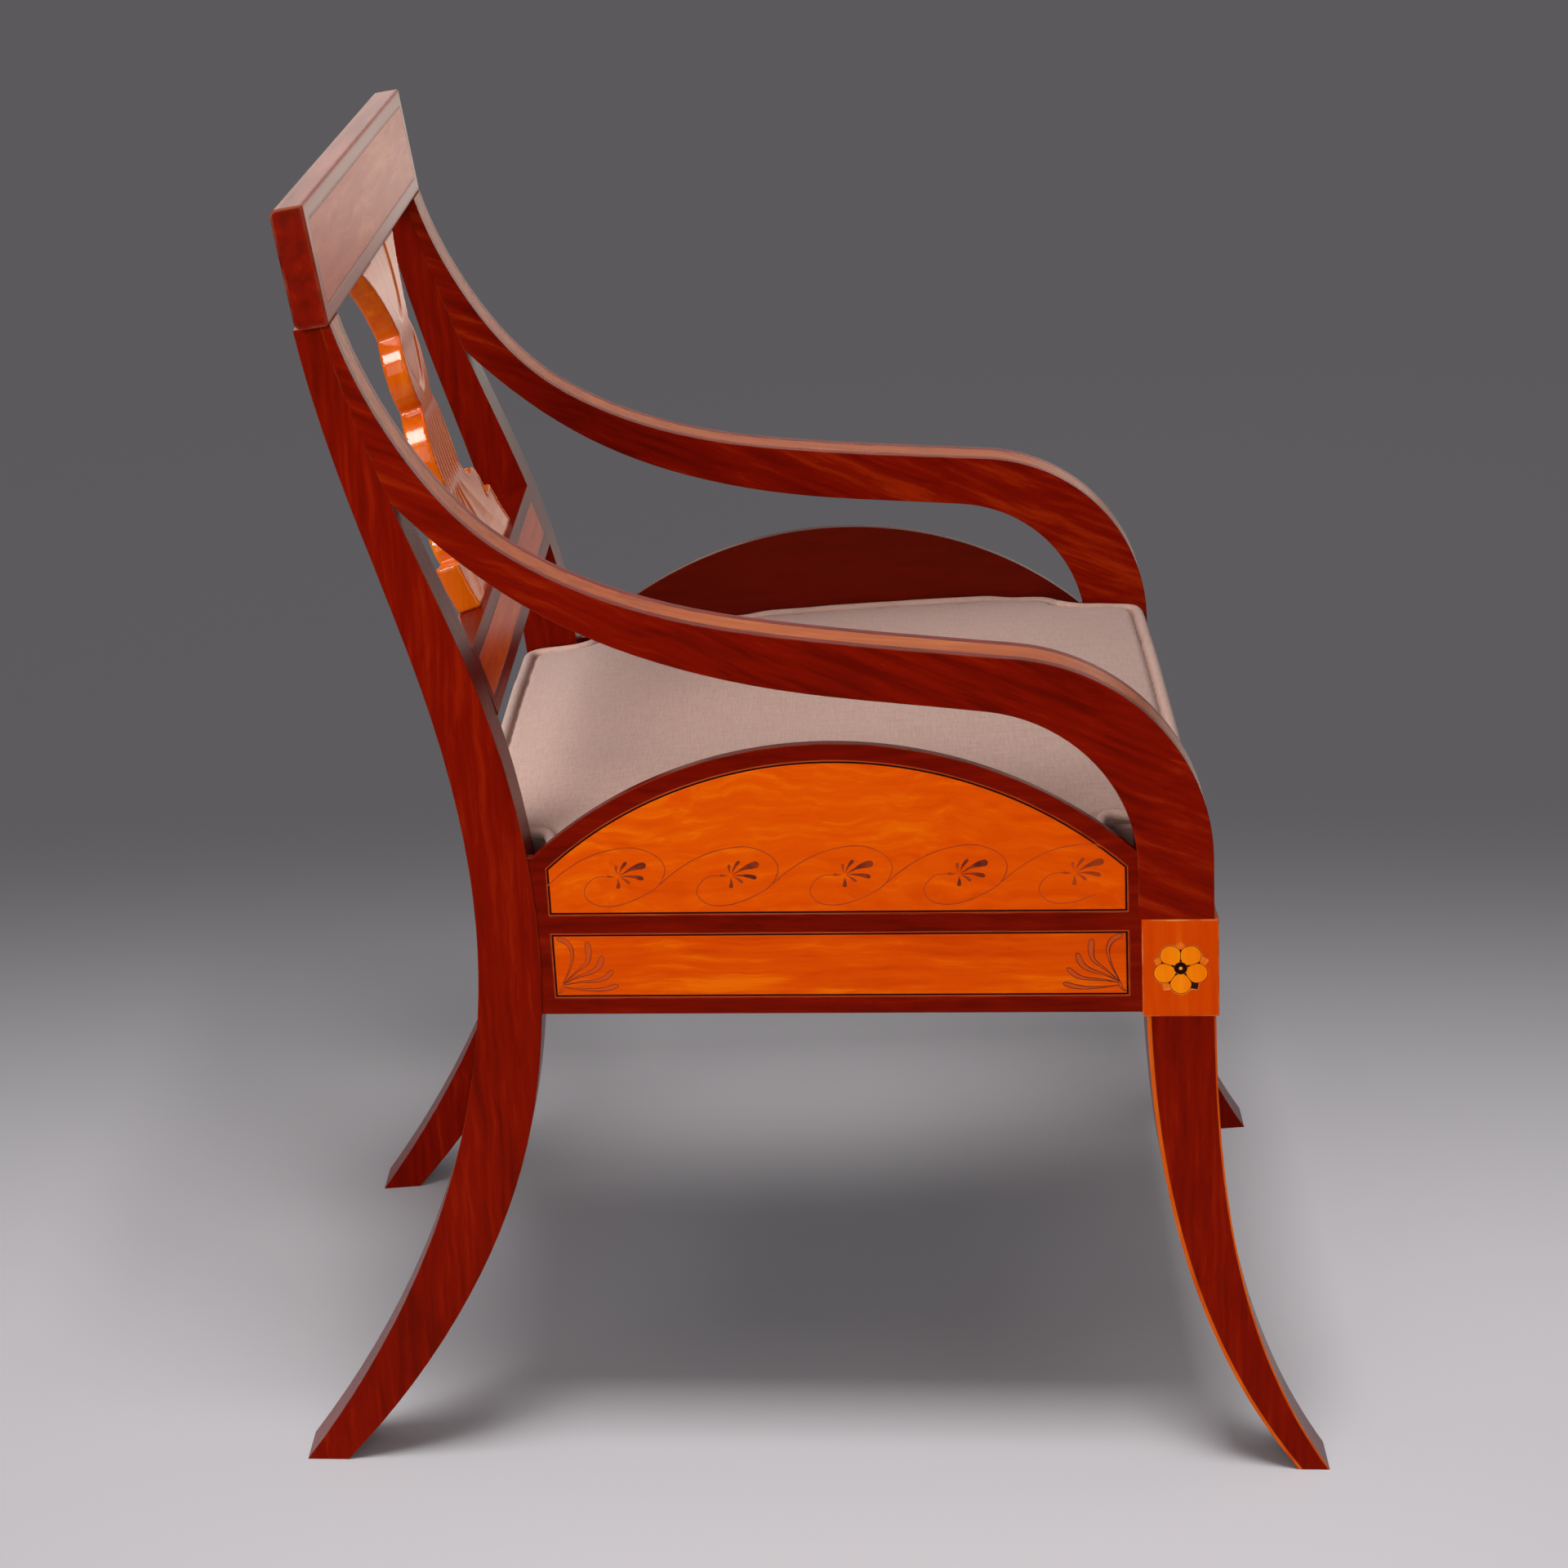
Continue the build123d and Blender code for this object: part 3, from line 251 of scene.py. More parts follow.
def wood_figure_group():
    group, given, made = new_group(
        "wood_figure",
        [
            ("Vector", "NodeSocketVector", None),
            ("Dark", "NodeSocketColor", (0.1, 0.02, 0.01, 1.0)),
            ("Middle", "NodeSocketColor", (0.2, 0.04, 0.02, 1.0)),
            ("Light", "NodeSocketColor", (0.3, 0.08, 0.03, 1.0)),
            ("Bands", "NodeSocketFloat", 14.0),
            ("Streaks", "NodeSocketFloat", 130.0),
            ("Flame", "NodeSocketFloat", 0.01),
            ("Pores", "NodeSocketFloat", 0.3),
            ("Seed", "NodeSocketFloat", 0.0),
        ],
        [("Color", "NodeSocketColor"), ("Figure", "NodeSocketFloat"), ("Pore", "NodeSocketFloat")],
    )
    link = group.links.new
    seed = given.outputs["Seed"]
    slow = add(group, "ShaderNodeTexNoise", {"Scale": BEND_SCALE, "Detail": 2.0}, noise_dimensions="4D")
    link(given.outputs["Vector"], slow.inputs["Vector"])
    link(seed, slow.inputs["W"])
    centred = add(group, "ShaderNodeVectorMath", operation="SUBTRACT")
    centred.inputs[1].default_value = (0.5, 0.5, 0.5)
    link(slow.outputs["Color"], centred.inputs[0])
    bend = add(group, "ShaderNodeVectorMath", operation="SCALE")
    link(centred.outputs[0], bend.inputs[0])
    link(given.outputs["Flame"], bend.inputs["Scale"])
    bent = add(group, "ShaderNodeVectorMath", operation="ADD")
    link(given.outputs["Vector"], bent.inputs[0])
    link(bend.outputs[0], bent.inputs[1])
    bands = stretched_noise(group, bent.outputs[0], BAND_STRETCH, given.outputs["Bands"], 3.0, seed)
    streaks = stretched_noise(group, bent.outputs[0], STREAK_STRETCH, given.outputs["Streaks"], 5.0, seed)
    pores = stretched_noise(group, bent.outputs[0], PORE_STRETCH, PORE_SCALE, 2.0, seed)
    mixed = math_node(
        group, "ADD", math_node(group, "MULTIPLY", bands, 1.0 - STREAK_SHARE),
        math_node(group, "MULTIPLY", streaks, STREAK_SHARE),
    )
    low = remap(group, mixed, *DARK_TONES)
    high = remap(group, mixed, *LIGHT_TONES)
    colour = blend_colours(group, low, given.outputs["Dark"], given.outputs["Middle"])
    colour = blend_colours(group, high, colour, given.outputs["Light"])
    pore = remap(group, pores, *PORE_TONES)
    depth = math_node(group, "MULTIPLY", pore, given.outputs["Pores"])
    colour = blend_colours(group, depth, colour, given.outputs["Dark"])
    link(colour, made.inputs["Color"])
    link(mixed, made.inputs["Figure"])
    link(pore, made.inputs["Pore"])
    return group


WOOD_FIGURE = wood_figure_group()
print("wood figure nodes:", len(WOOD_FIGURE.nodes))

# %% [markdown]
# ## Softened arrises, as one group
# A polished chair has no razor edges: each arris is eased by hand and by two centuries of
# sleeves. The Bevel node rounds the normal close to an edge, so a flat solid catches a thin
# line of light there. Where that rounded normal leaves the flat one, the colour turns paler in
# patches: partly polish rubbed through, partly a painted highlight along the arris. That
# difference is the wear and highlight mask.

# %% Arris group
ROUNDED_COSINE = (0.99, 0.80)
PATCH_SCALE = 45.0
PATCH_TONES = (0.35, 0.65)


def arris_group():
    group, given, made = new_group(
        "eased_arris",
        [("Radius", "NodeSocketFloat", 0.0012), ("Rubbed", "NodeSocketFloat", 0.6)],
        [("Normal", "NodeSocketVector"), ("Wear", "NodeSocketFloat")],
    )
    link = group.links.new
    bevel = add(group, "ShaderNodeBevel", samples=4)
    link(given.outputs["Radius"], bevel.inputs["Radius"])
    flat = add(group, "ShaderNodeNewGeometry")
    cosine = add(group, "ShaderNodeVectorMath", operation="DOT_PRODUCT")
    link(bevel.outputs[0], cosine.inputs[0])
    link(flat.outputs["True Normal"], cosine.inputs[1])
    rounded = remap(group, cosine.outputs["Value"], *ROUNDED_COSINE)
    where = add(group, "ShaderNodeTexCoord")
    patchy = add(group, "ShaderNodeTexNoise", {"Scale": PATCH_SCALE, "Detail": 4.0})
    link(where.outputs["Object"], patchy.inputs["Vector"])
    patches = remap(group, patchy.outputs["Fac"], *PATCH_TONES)
    # Paler in patches at the arris: real wear, and a painted highlight along the edge.
    worn = math_node(group, "MULTIPLY", rounded, patches)
    link(math_node(group, "MULTIPLY", worn, given.outputs["Rubbed"]), made.inputs["Wear"])
    link(bevel.outputs[0], made.inputs["Normal"])
    return group


EASED_ARRIS = arris_group()
print("eased arris nodes:", len(EASED_ARRIS.nodes))

# %% [markdown]
# ## The woods
# The frame is deep red mahogany under a thin polish, and its reflections are tinted warm
# where they are seen straight on. Panels, block, banding and splat are satin birch that has
# gone orange under the same polish. Crest and splat have a clear coat as well, because they
# show the palest sheen, and the crest's front faces round its panel are painted lighter, a
# painted sheen. Inside, the side boards have the duller colour of wood that was never
# polished. A plank's grain runs along its length: upright in posts and legs, slanting in the
# sawn arms, lengthwise in the boards, and across the chair in the rails.

# %% Wood finish
POLISH_IOR = 1.2
POLISH_TINT = (1.0, 0.35, 0.12, 1.0)
COAT_ROUGHNESS = 0.1
COAT_IOR = 1.5
ROUGH_SWING = 0.02
PORE_DEPTH = 0.1 * MM
INNER_FACE = -0.05
FRONT_FACE = -0.6
UNPOLISHED = rgb(96, 22, 11)
# Colour that front-facing faces are painted towards: a painted sheen.
FRONT_SHEEN_PAINT = rgb(176, 56, 20)
ALONG_X = (0.0, 0.0, 0.0)
ALONG_Y = (0.0, 0.0, math.radians(90.0))
ALONG_Z = (0.0, math.radians(90.0), 0.0)
ARM_GRAIN = (0.0, math.radians(-24.0), math.radians(90.0))


def faces_inside(tree, position):
    """1 where a side of the chair faces the seat, and 0 on its outer face."""
    place_axes = add(tree, "ShaderNodeSeparateXYZ")
    tree.links.new(position, place_axes.inputs[0])
    facing = add(tree, "ShaderNodeNewGeometry")
    facing_axes = add(tree, "ShaderNodeSeparateXYZ")
    tree.links.new(facing.outputs["Normal"], facing_axes.inputs[0])
    outward = math_node(tree, "MULTIPLY", place_axes.outputs[0], facing_axes.outputs[0])
    return math_node(tree, "LESS_THAN", outward, INNER_FACE)


def faces_front(tree):
    """1 where a surface looks to the front of the chair."""
    facing = add(tree, "ShaderNodeNewGeometry")
    axes = add(tree, "ShaderNodeSeparateXYZ")
    tree.links.new(facing.outputs["Normal"], axes.inputs[0])
    return math_node(tree, "LESS_THAN", axes.outputs[1], FRONT_FACE)


def wood(name, turn, colours, seed, bands=14.0, streaks=130.0, flame=0.01, pores=0.3,
         roughness=0.26, arris=0.0012, rub_and_highlight=0.5, wear_and_highlight_to=rgb(190, 90, 40), coat=0.0,
         inner_shade=0.0, front_sheen=0.0, relief=0.015):
    """Polished wood whose grain lies along the direction that the turn brings to X."""
    material, tree, shader = new_material(
        name, IOR=POLISH_IOR, Specular_Tint=POLISH_TINT, Coat_Weight=coat,
        Coat_Roughness=COAT_ROUGHNESS, Coat_IOR=COAT_IOR,
    )
    link = tree.links.new
    where = add(tree, "ShaderNodeTexCoord")
    turned = add(tree, "ShaderNodeMapping", {"Rotation": turn}, vector_type="TEXTURE")
    link(where.outputs["Object"], turned.inputs["Vector"])
    dark, middle, light = colours
    figure = place(tree, WOOD_FIGURE, {
        "Dark": dark, "Middle": middle, "Light": light, "Bands": bands, "Streaks": streaks,
        "Flame": flame, "Pores": pores, "Seed": seed,
    })
    link(turned.outputs["Vector"], figure.inputs["Vector"])
    eased = place(tree, EASED_ARRIS, {"Radius": arris, "Rubbed": rub_and_highlight})
    # Arrises turn paler: wear, and a painted highlight.
    colour = blend_colours(tree, eased.outputs["Wear"], figure.outputs["Color"], wear_and_highlight_to)
    if inner_shade > 0.0:
        inside = faces_inside(tree, where.outputs["Object"])
        unpolished = math_node(tree, "MULTIPLY", inside, inner_shade)
        colour = blend_colours(tree, unpolished, colour, UNPOLISHED)
    # Front faces painted lighter: a painted sheen.
    if front_sheen > 0.0:
        sheened = math_node(tree, "MULTIPLY", faces_front(tree), front_sheen)
        colour = blend_colours(tree, sheened, colour, FRONT_SHEEN_PAINT)
    link(colour, shader.inputs["Base Color"])
    rough_ends = (roughness + ROUGH_SWING, roughness - ROUGH_SWING)
    rough = remap(tree, figure.outputs["Figure"], 0.3, 0.7, *rough_ends)
    link(rough, shader.inputs["Roughness"])
    bump = add(tree, "ShaderNodeBump", {"Strength": relief, "Distance": PORE_DEPTH}, invert=True)
    link(figure.outputs["Pore"], bump.inputs["Height"])
    link(eased.outputs["Normal"], bump.inputs["Normal"])
    link(bump.outputs["Normal"], shader.inputs["Normal"])
    return material


# %% Woods
MAHOGANY = (rgb(98, 9, 1), rgb(122, 13, 2), rgb(144, 26, 3))
ARM_MAHOGANY = (rgb(96, 8, 1), rgb(124, 14, 2), rgb(156, 38, 5))
BOARD_MAHOGANY = (rgb(90, 8, 1), rgb(114, 12, 2), rgb(136, 24, 3))
BIRCH = (rgb(204, 62, 0), rgb(220, 76, 1), rgb(238, 106, 3))
FLAME_BIRCH = (rgb(216, 70, 0), rgb(228, 82, 1), rgb(240, 106, 3))
SPLAT_BIRCH = (rgb(220, 82, 0), rgb(236, 102, 2), rgb(250, 138, 8))
BLOCK_BIRCH = (rgb(200, 58, 0), rgb(212, 68, 1), rgb(226, 88, 2))
LIGHT_LINE = (rgb(150, 42, 16), rgb(172, 60, 26), rgb(190, 80, 38))
LEG_LINE = (rgb(190, 66, 8), rgb(212, 88, 16), rgb(228, 112, 26))
BANDING = (rgb(158, 62, 10), rgb(178, 80, 17), rgb(196, 98, 27))
DARK_LINE = (rgb(26, 6, 4), rgb(40, 9, 5), rgb(60, 14, 7))
PETAL = (rgb(246, 120, 3), rgb(252, 132, 7), rgb(255, 148, 18))
BEECH = (rgb(170, 124, 84), rgb(196, 152, 110), rgb(214, 176, 134))
# Pale colours at the arrises of crest and block: wear, and a painted highlight.
CREST_WEAR_AND_HIGHLIGHT = rgb(226, 150, 110)
BLOCK_WEAR_AND_HIGHLIGHT = rgb(255, 190, 110)

mahogany_upright = wood("mahogany_upright", ALONG_Z, MAHOGANY, 1.0, bands=18.0, streaks=210.0, pores=0.6)
mahogany_arm = wood("mahogany_arm", ARM_GRAIN, ARM_MAHOGANY, 2.0, bands=18.0, streaks=160.0,
                    flame=0.008, pores=0.5)
mahogany_board = wood("mahogany_board", ALONG_Y, BOARD_MAHOGANY, 3.0, streaks=180.0, inner_shade=0.6)
mahogany_rail = wood("mahogany_rail", ALONG_X, MAHOGANY, 4.0, streaks=180.0, relief=0.0)
mahogany_crest = wood("mahogany_crest", ALONG_X, MAHOGANY, 15.0, arris=0.0035, rub_and_highlight=0.5,
                      wear_and_highlight_to=CREST_WEAR_AND_HIGHLIGHT, coat=0.12, front_sheen=0.7, relief=0.0)
birch_panel = wood("birch_panel", ALONG_Y, FLAME_BIRCH, 5.0, bands=7.0, streaks=150.0, flame=0.045)
birch_long = wood("birch_long", ALONG_Y, BIRCH, 6.0, bands=11.0, streaks=170.0, flame=0.012, pores=0.2)
birch_block = wood("birch_block", ALONG_Z, BLOCK_BIRCH, 7.0, bands=9.0, flame=0.008, pores=0.2,
                   arris=0.0018, rub_and_highlight=1.0, wear_and_highlight_to=BLOCK_WEAR_AND_HIGHLIGHT)
birch_cross = wood("birch_cross", ALONG_X, BIRCH, 8.0, flame=0.02, pores=0.2, relief=0.0)
birch_splat = wood("birch_splat", ALONG_Z, SPLAT_BIRCH, 9.0, flame=0.02, pores=0.2, arris=0.0008,
                   coat=0.45, relief=0.0)
arm_banding = wood("arm_banding", ALONG_Y, BANDING, 16.0, flame=0.012, pores=0.2, rub_and_highlight=0.0, relief=0.0)
light_line = wood("light_line", ALONG_Y, LIGHT_LINE, 10.0, pores=0.1, rub_and_highlight=0.0, arris=0.0002)
leg_line = wood("leg_line", ALONG_Z, LEG_LINE, 17.0, pores=0.1, rub_and_highlight=0.0, arris=0.0002)
dark_line = wood("dark_line", ALONG_Y, DARK_LINE, 11.0, pores=0.1, rub_and_highlight=0.0, arris=0.0002)
petal_wood = wood("petal_wood", ALONG_Z, PETAL, 12.0, flame=0.02, pores=0.1, rub_and_highlight=0.0, arris=0.0002)
beech = wood("beech", ALONG_Y, BEECH, 14.0, roughness=0.55, rub_and_highlight=0.0)
print("woods:", len(bpy.data.materials))

# %% Give each solid its wood
WOOD_OF = {
    "back_post": mahogany_upright, "front_leg": mahogany_upright, "arm": mahogany_arm,
    "side_board": mahogany_board, "crest_rail": mahogany_crest, "stay_rail": mahogany_rail,
    "front_seat_rail": mahogany_rail, "rear_seat_rail": mahogany_rail,
    "lunette_panel": birch_panel, "lower_panel": birch_long, "arm_banding": arm_banding,
    "front_block": birch_block, "splat": birch_splat,
    "crest_panel": birch_cross, "stay_panel": birch_cross, "front_rail_panel": birch_cross,
    "light_stringing": light_line, "leg_stringing": leg_line, "front_light_stringing": light_line,
    "dark_stringing": dark_line, "front_dark_stringing": dark_line,
    "flower_petals": petal_wood, "flower_eye": dark_line,
    "side_seat_rail": beech, "corner_blocks": beech,
}


def dress(node, material):
    """Give a solid its finish in place of the plain colour it came with."""
    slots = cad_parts[node].data.materials
    slots.clear()
    slots.append(material)


def plain_name(node):
    """Name of a piece without its side of the chair."""
    for side in ("right_", "left_"):
        if node.startswith(side):
            return node[len(side):]
    return node


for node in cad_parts:
    kind = plain_name(node)
    if kind.endswith("_dowels"):
        dress(node, beech)
    elif kind in WOOD_OF:
        dress(node, WOOD_OF[kind])
print("kinds of wooden piece:", len(WOOD_OF))

# %% [markdown]
# ## Cloths and screws
# The cushion is covered in plain-woven linen; jute straps and a calico sheet carry it. One
# weave group serves all three: it crosses two sets of threads in whichever plane the surface
# faces, and adds slubs, the thick stretches of hand-spun yarn. A crease attribute on the
# cushion's mesh darkens the cloth with painted shade: up to 1 in the seam's creases, and up
# to 2 on the flanks inside its notches, which look nearly black on the real chair. The shade
# in the notches is painted because the lights of this studio reach into them.

# %% Weave group


def weave_group():
    group, given, made = new_group(
        "plain_weave",
        [("Pitch", "NodeSocketFloat", 0.001), ("Slub", "NodeSocketFloat", 30.0)],
        [("Height", "NodeSocketFloat"), ("Slubs", "NodeSocketFloat")],
    )
    link = group.links.new
    where = add(group, "ShaderNodeTexCoord")
    axes = add(group, "ShaderNodeSeparateXYZ")
    link(where.outputs["Object"], axes.inputs[0])
    facing = add(group, "ShaderNodeNewGeometry")
    size = add(group, "ShaderNodeVectorMath", operation="ABSOLUTE")
    link(facing.outputs["Normal"], size.inputs[0])
    share = add(group, "ShaderNodeSeparateXYZ")
    link(size.outputs[0], share.inputs[0])
    rate = math_node(group, "DIVIDE", math.pi, given.outputs["Pitch"])
    turns = [math_node(group, "MULTIPLY", axes.outputs[i], rate) for i in range(3)]
    threads = [math_node(group, "SINE", turn) for turn in turns]
    level = math_node(group, "MULTIPLY", threads[0], threads[1])
    front = math_node(group, "MULTIPLY", threads[0], threads[2])
    flank = math_node(group, "MULTIPLY", threads[1], threads[2])
    faces_side = math_node(group, "GREATER_THAN", share.outputs[0], share.outputs[1])
    faces_up = math_node(group, "GREATER_THAN", share.outputs[2], 0.6)
    upright = add(group, "ShaderNodeMix")
    link(faces_side, upright.inputs[0])
    link(front, upright.inputs[2])
    link(flank, upright.inputs[3])
    cloth = add(group, "ShaderNodeMix")
    link(faces_up, cloth.inputs[0])
    link(upright.outputs[0], cloth.inputs[2])
    link(level, cloth.inputs[3])
    link(remap(group, cloth.outputs[0], -1.0, 1.0), made.inputs["Height"])
    slubs = []
    for stretch in ((1.0, 14.0, 14.0), (14.0, 1.0, 14.0)):
        squeeze = add(group, "ShaderNodeVectorMath", operation="MULTIPLY")
        squeeze.inputs[1].default_value = stretch
        link(where.outputs["Object"], squeeze.inputs[0])
        noise = add(group, "ShaderNodeTexNoise", {"Detail": 3.0, "Roughness": 0.7})
        link(squeeze.outputs[0], noise.inputs["Vector"])
        link(given.outputs["Slub"], noise.inputs["Scale"])
        slubs.append(noise.outputs["Fac"])
    both = math_node(group, "ADD", slubs[0], slubs[1])
    link(math_node(group, "MULTIPLY", both, 0.5), made.inputs["Slubs"])
    return group


PLAIN_WEAVE = weave_group()
print("plain weave nodes:", len(PLAIN_WEAVE.nodes))

# %% Cloth finishes
SLUB_TONES = (0.36, 0.64)
THREAD_GAP = 0.82
THREAD_BUMP = 0.35
# Painted shade: in the seam's creases, and deeper on the flanks inside the notches.
CREASE_FROM = 0.55
CREASE_SHADE = 0.55
CREASE_DARK = rgb(96, 66, 58)
NOTCH_SHADE = 0.65
NOTCH_DARK = rgb(74, 26, 18)


def cloth_finish(name, colours, pitch, slub, depth):
    """Woven cloth: colour follows the slubs, threads stand in the bump, creases get painted shade."""
    material, tree, shader = new_material(
        name, Roughness=0.9, Specular_IOR_Level=0.2, Sheen_Weight=0.25, Sheen_Roughness=0.5
    )
    link = tree.links.new
    weave = place(tree, PLAIN_WEAVE, {"Pitch": pitch, "Slub": slub})
    dark, light = colours
    slubs = remap(tree, weave.outputs["Slubs"], *SLUB_TONES)
    colour = blend_colours(tree, slubs, dark, light)
    gap = remap(tree, weave.outputs["Height"], 0.0, 0.5, THREAD_GAP, 1.0)
    shade = blend_colours(tree, 1.0, colour, gap, "MULTIPLY")
    crease = add(tree, "ShaderNodeAttribute", attribute_name="crease")
    creased = remap(tree, crease.outputs["Fac"], CREASE_FROM, 1.0, 0.0, CREASE_SHADE)
    shade = blend_colours(tree, creased, shade, CREASE_DARK)
    notched = remap(tree, crease.outputs["Fac"], 1.0, 2.0, 0.0, NOTCH_SHADE)
    shade = blend_colours(tree, notched, shade, NOTCH_DARK)
    link(shade, shader.inputs["Base Color"])
    relief = math_node(tree, "ADD", weave.outputs["Height"], weave.outputs["Slubs"])
    bump = add(tree, "ShaderNodeBump", {"Strength": THREAD_BUMP, "Distance": depth})
    link(relief, bump.inputs["Height"])
    link(bump.outputs["Normal"], shader.inputs["Normal"])
    return material


linen = cloth_finish("linen", (rgb(192, 152, 137), rgb(208, 170, 155)), 0.7 * MM, 60.0, 0.2 * MM)
jute = cloth_finish("jute", (rgb(140, 104, 66), rgb(180, 142, 96)), 2.2 * MM, 40.0, 0.8 * MM)
calico = cloth_finish("calico", (rgb(206, 194, 170), rgb(226, 216, 196)), 0.7 * MM, 50.0, 0.2 * MM)

# %% Screw steel


def screw_steel():
    material, tree, shader = new_material("screw_steel", Metallic=1.0)
    where = add(tree, "ShaderNodeTexCoord")
    rust = add(tree, "ShaderNodeTexNoise", {"Scale": 300.0, "Detail": 4.0})
    tree.links.new(where.outputs["Object"], rust.inputs["Vector"])
    spots = remap(tree, rust.outputs["Fac"], 0.5, 0.7)
    colour = blend_colours(tree, spots, rgb(120, 116, 110), rgb(84, 62, 48))
    tree.links.new(colour, shader.inputs["Base Color"])
    rough = remap(tree, rust.outputs["Fac"], 0.3, 0.7, 0.3, 0.6)
    tree.links.new(rough, shader.inputs["Roughness"])
    return material


dress("corner_block_screws", screw_steel())
dress("seat_webbing", jute)
dress("platform_cloth", calico)
print("finishes:", len(bpy.data.materials))

# %% [markdown]
# ## Lines that follow an edge
# Several fine things follow an edge of a solid: the pen line round each petal, and the cord
# in the cushion's seam. The edge is read from a merged copy of the solid, and a Geometry
# Nodes tree runs a round section along it. The tree ends in real geometry with its material,
# because instances don't survive the export.

# %% Edge reader


def merged_copy(node):
    """Bmesh copy of a solid whose loose triangles share their corners."""
    mesh = bmesh.new()
    mesh.from_mesh(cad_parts[node].data)
    bmesh.ops.remove_doubles(mesh, verts=mesh.verts, dist=1e-5)
    bmesh.ops.recalc_face_normals(mesh, faces=mesh.faces)
    return mesh


def arris_edges(node, outward, face_cosine=0.9, other_cosine=0.6):
    """Mesh of the edges where a face that looks outward meets one that doesn't."""
    solid = merged_copy(node)
    kept = []
    for edge in solid.edges:
        if len(edge.link_faces) != 2:
            continue
        cosines = sorted(face.normal.dot(outward) for face in edge.link_faces)
        if cosines[1] > face_cosine and cosines[0] < other_cosine:
            kept.append(edge)
    index = {}
    points = []
    lines = []
    for edge in kept:
        for vert in edge.verts:
            if vert.index not in index:
                index[vert.index] = len(points)
                points.append(vert.co.copy())
        lines.append(tuple(index[vert.index] for vert in edge.verts))
    solid.free()
    mesh = bpy.data.meshes.new(node + "_edges")
    mesh.from_pydata(points, lines, [])
    return mesh


# %% Line tree


def geometry_tree(name, inputs):
    """Geometry node tree with named inputs: (name, type, default)."""
    tree = bpy.data.node_groups.new(name, "GeometryNodeTree")
    tree.interface.new_socket("Geometry", in_out="INPUT", socket_type="NodeSocketGeometry")
    for label, kind, default in inputs:
        socket = tree.interface.new_socket(label, in_out="INPUT", socket_type=kind)
        if default is not None:
            socket.default_value = default
    tree.interface.new_socket("Geometry", in_out="OUTPUT", socket_type="NodeSocketGeometry")
    return tree, tree.nodes.new("NodeGroupInput"), tree.nodes.new("NodeGroupOutput")


def finish_tree(tree, given, made, geometry):
    """End a tree in Realize Instances and Set Material."""
    real = add(tree, "GeometryNodeRealizeInstances")
    coat = add(tree, "GeometryNodeSetMaterial")
    tree.links.new(geometry, real.inputs["Geometry"])
    tree.links.new(real.outputs["Geometry"], coat.inputs["Geometry"])
    tree.links.new(given.outputs["Material"], coat.inputs["Material"])
    tree.links.new(coat.outputs["Geometry"], made.inputs["Geometry"])


def round_line_tree():
    """Runs a round section along every edge of a mesh."""
    tree, given, made = geometry_tree("round_line", [
        ("Width", "NodeSocketFloat", 0.001),
        ("Sides", "NodeSocketInt", 8),
        ("Material", "NodeSocketMaterial", None),
    ])
    link = tree.links.new
    curve = add(tree, "GeometryNodeMeshToCurve")
    link(given.outputs["Geometry"], curve.inputs["Mesh"])
    section = add(tree, "GeometryNodeCurvePrimitiveCircle")
    link(given.outputs["Sides"], section.inputs["Resolution"])
    link(math_node(tree, "MULTIPLY", given.outputs["Width"], 0.5), section.inputs["Radius"])
    tube = add(tree, "GeometryNodeCurveToMesh", {"Fill Caps": True})
    link(curve.outputs["Curve"], tube.inputs["Curve"])
    link(section.outputs["Curve"], tube.inputs["Profile Curve"])
    finish_tree(tree, given, made, tube.outputs["Mesh"])
    return tree


def socket_name(tree, label):
    """Identifier of a tree's input, which is how a modifier stores its value."""
    return next(s.identifier for s in tree.interface.items_tree if s.name == label and s.in_out == "INPUT")


def evaluated_mesh(piece):
    """Mesh of a piece with its modifiers applied."""
    view = bpy.context.evaluated_depsgraph_get()
    return bpy.data.meshes.new_from_object(piece.evaluated_get(view))


def grow(name, mesh, tree, values, smooth=True):
    """Run a tree on a mesh and keep the result as a plain mesh object."""
    source = linked(name + "_source", mesh)
    modifier = source.modifiers.new("grow", "NODES")
    modifier.node_group = tree
    for label, value in values.items():
        modifier[socket_name(tree, label)] = value
    result = evaluated_mesh(source)
    bpy.data.objects.remove(source)
    piece = linked(name, result)
    if smooth:
        result.shade_smooth()
    return piece


ROUND_LINE = round_line_tree()
print("round line nodes:", len(ROUND_LINE.nodes))

# %% [markdown]
# ## The cushion
# The squab is a boxed cushion: a top and an underside joined by a narrow band, with a corded
# seam at the top edge, and notches that clear the posts and arm supports. Cloth simulation
# fills it. A voxel remesh gives even cloth, which is smoothed so that its corners turn as
# cloth does. It is let down a little between its seams, the seams are pinned, and pressure
# swells it again. The movement is capped, so that it keeps to its space. The cord stands a
# little proud of the seam, and is drawn in beside arm supports and posts, so that it clears
# them when the cushion is lifted. The underside lies flat on the platform.

# %% Cloth helpers


def object_from_bmesh(name, solid):
    mesh = bpy.data.meshes.new(name)
    solid.to_mesh(mesh)
    solid.free()
    return linked(name, mesh)


def coordinates(mesh):
    flat = np.empty(len(mesh.vertices) * 3, np.float32)
    mesh.vertices.foreach_get("co", flat)
    return flat.reshape(-1, 3).astype(float)


def set_coordinates(mesh, points):
    mesh.vertices.foreach_set("co", points.astype(np.float32).ravel())
    mesh.update()


def vertex_normals(mesh):
    flat = np.empty(len(mesh.vertices) * 3, np.float32)
    mesh.vertices.foreach_get("normal", flat)
    return flat.reshape(-1, 3).astype(float)


def remeshed(piece, voxel):
    modifier = piece.modifiers.new("even_cloth", "REMESH")
    modifier.mode = "VOXEL"
    modifier.voxel_size = voxel
    mesh = evaluated_mesh(piece)
    piece.modifiers.remove(modifier)
    piece.data = mesh
    return piece


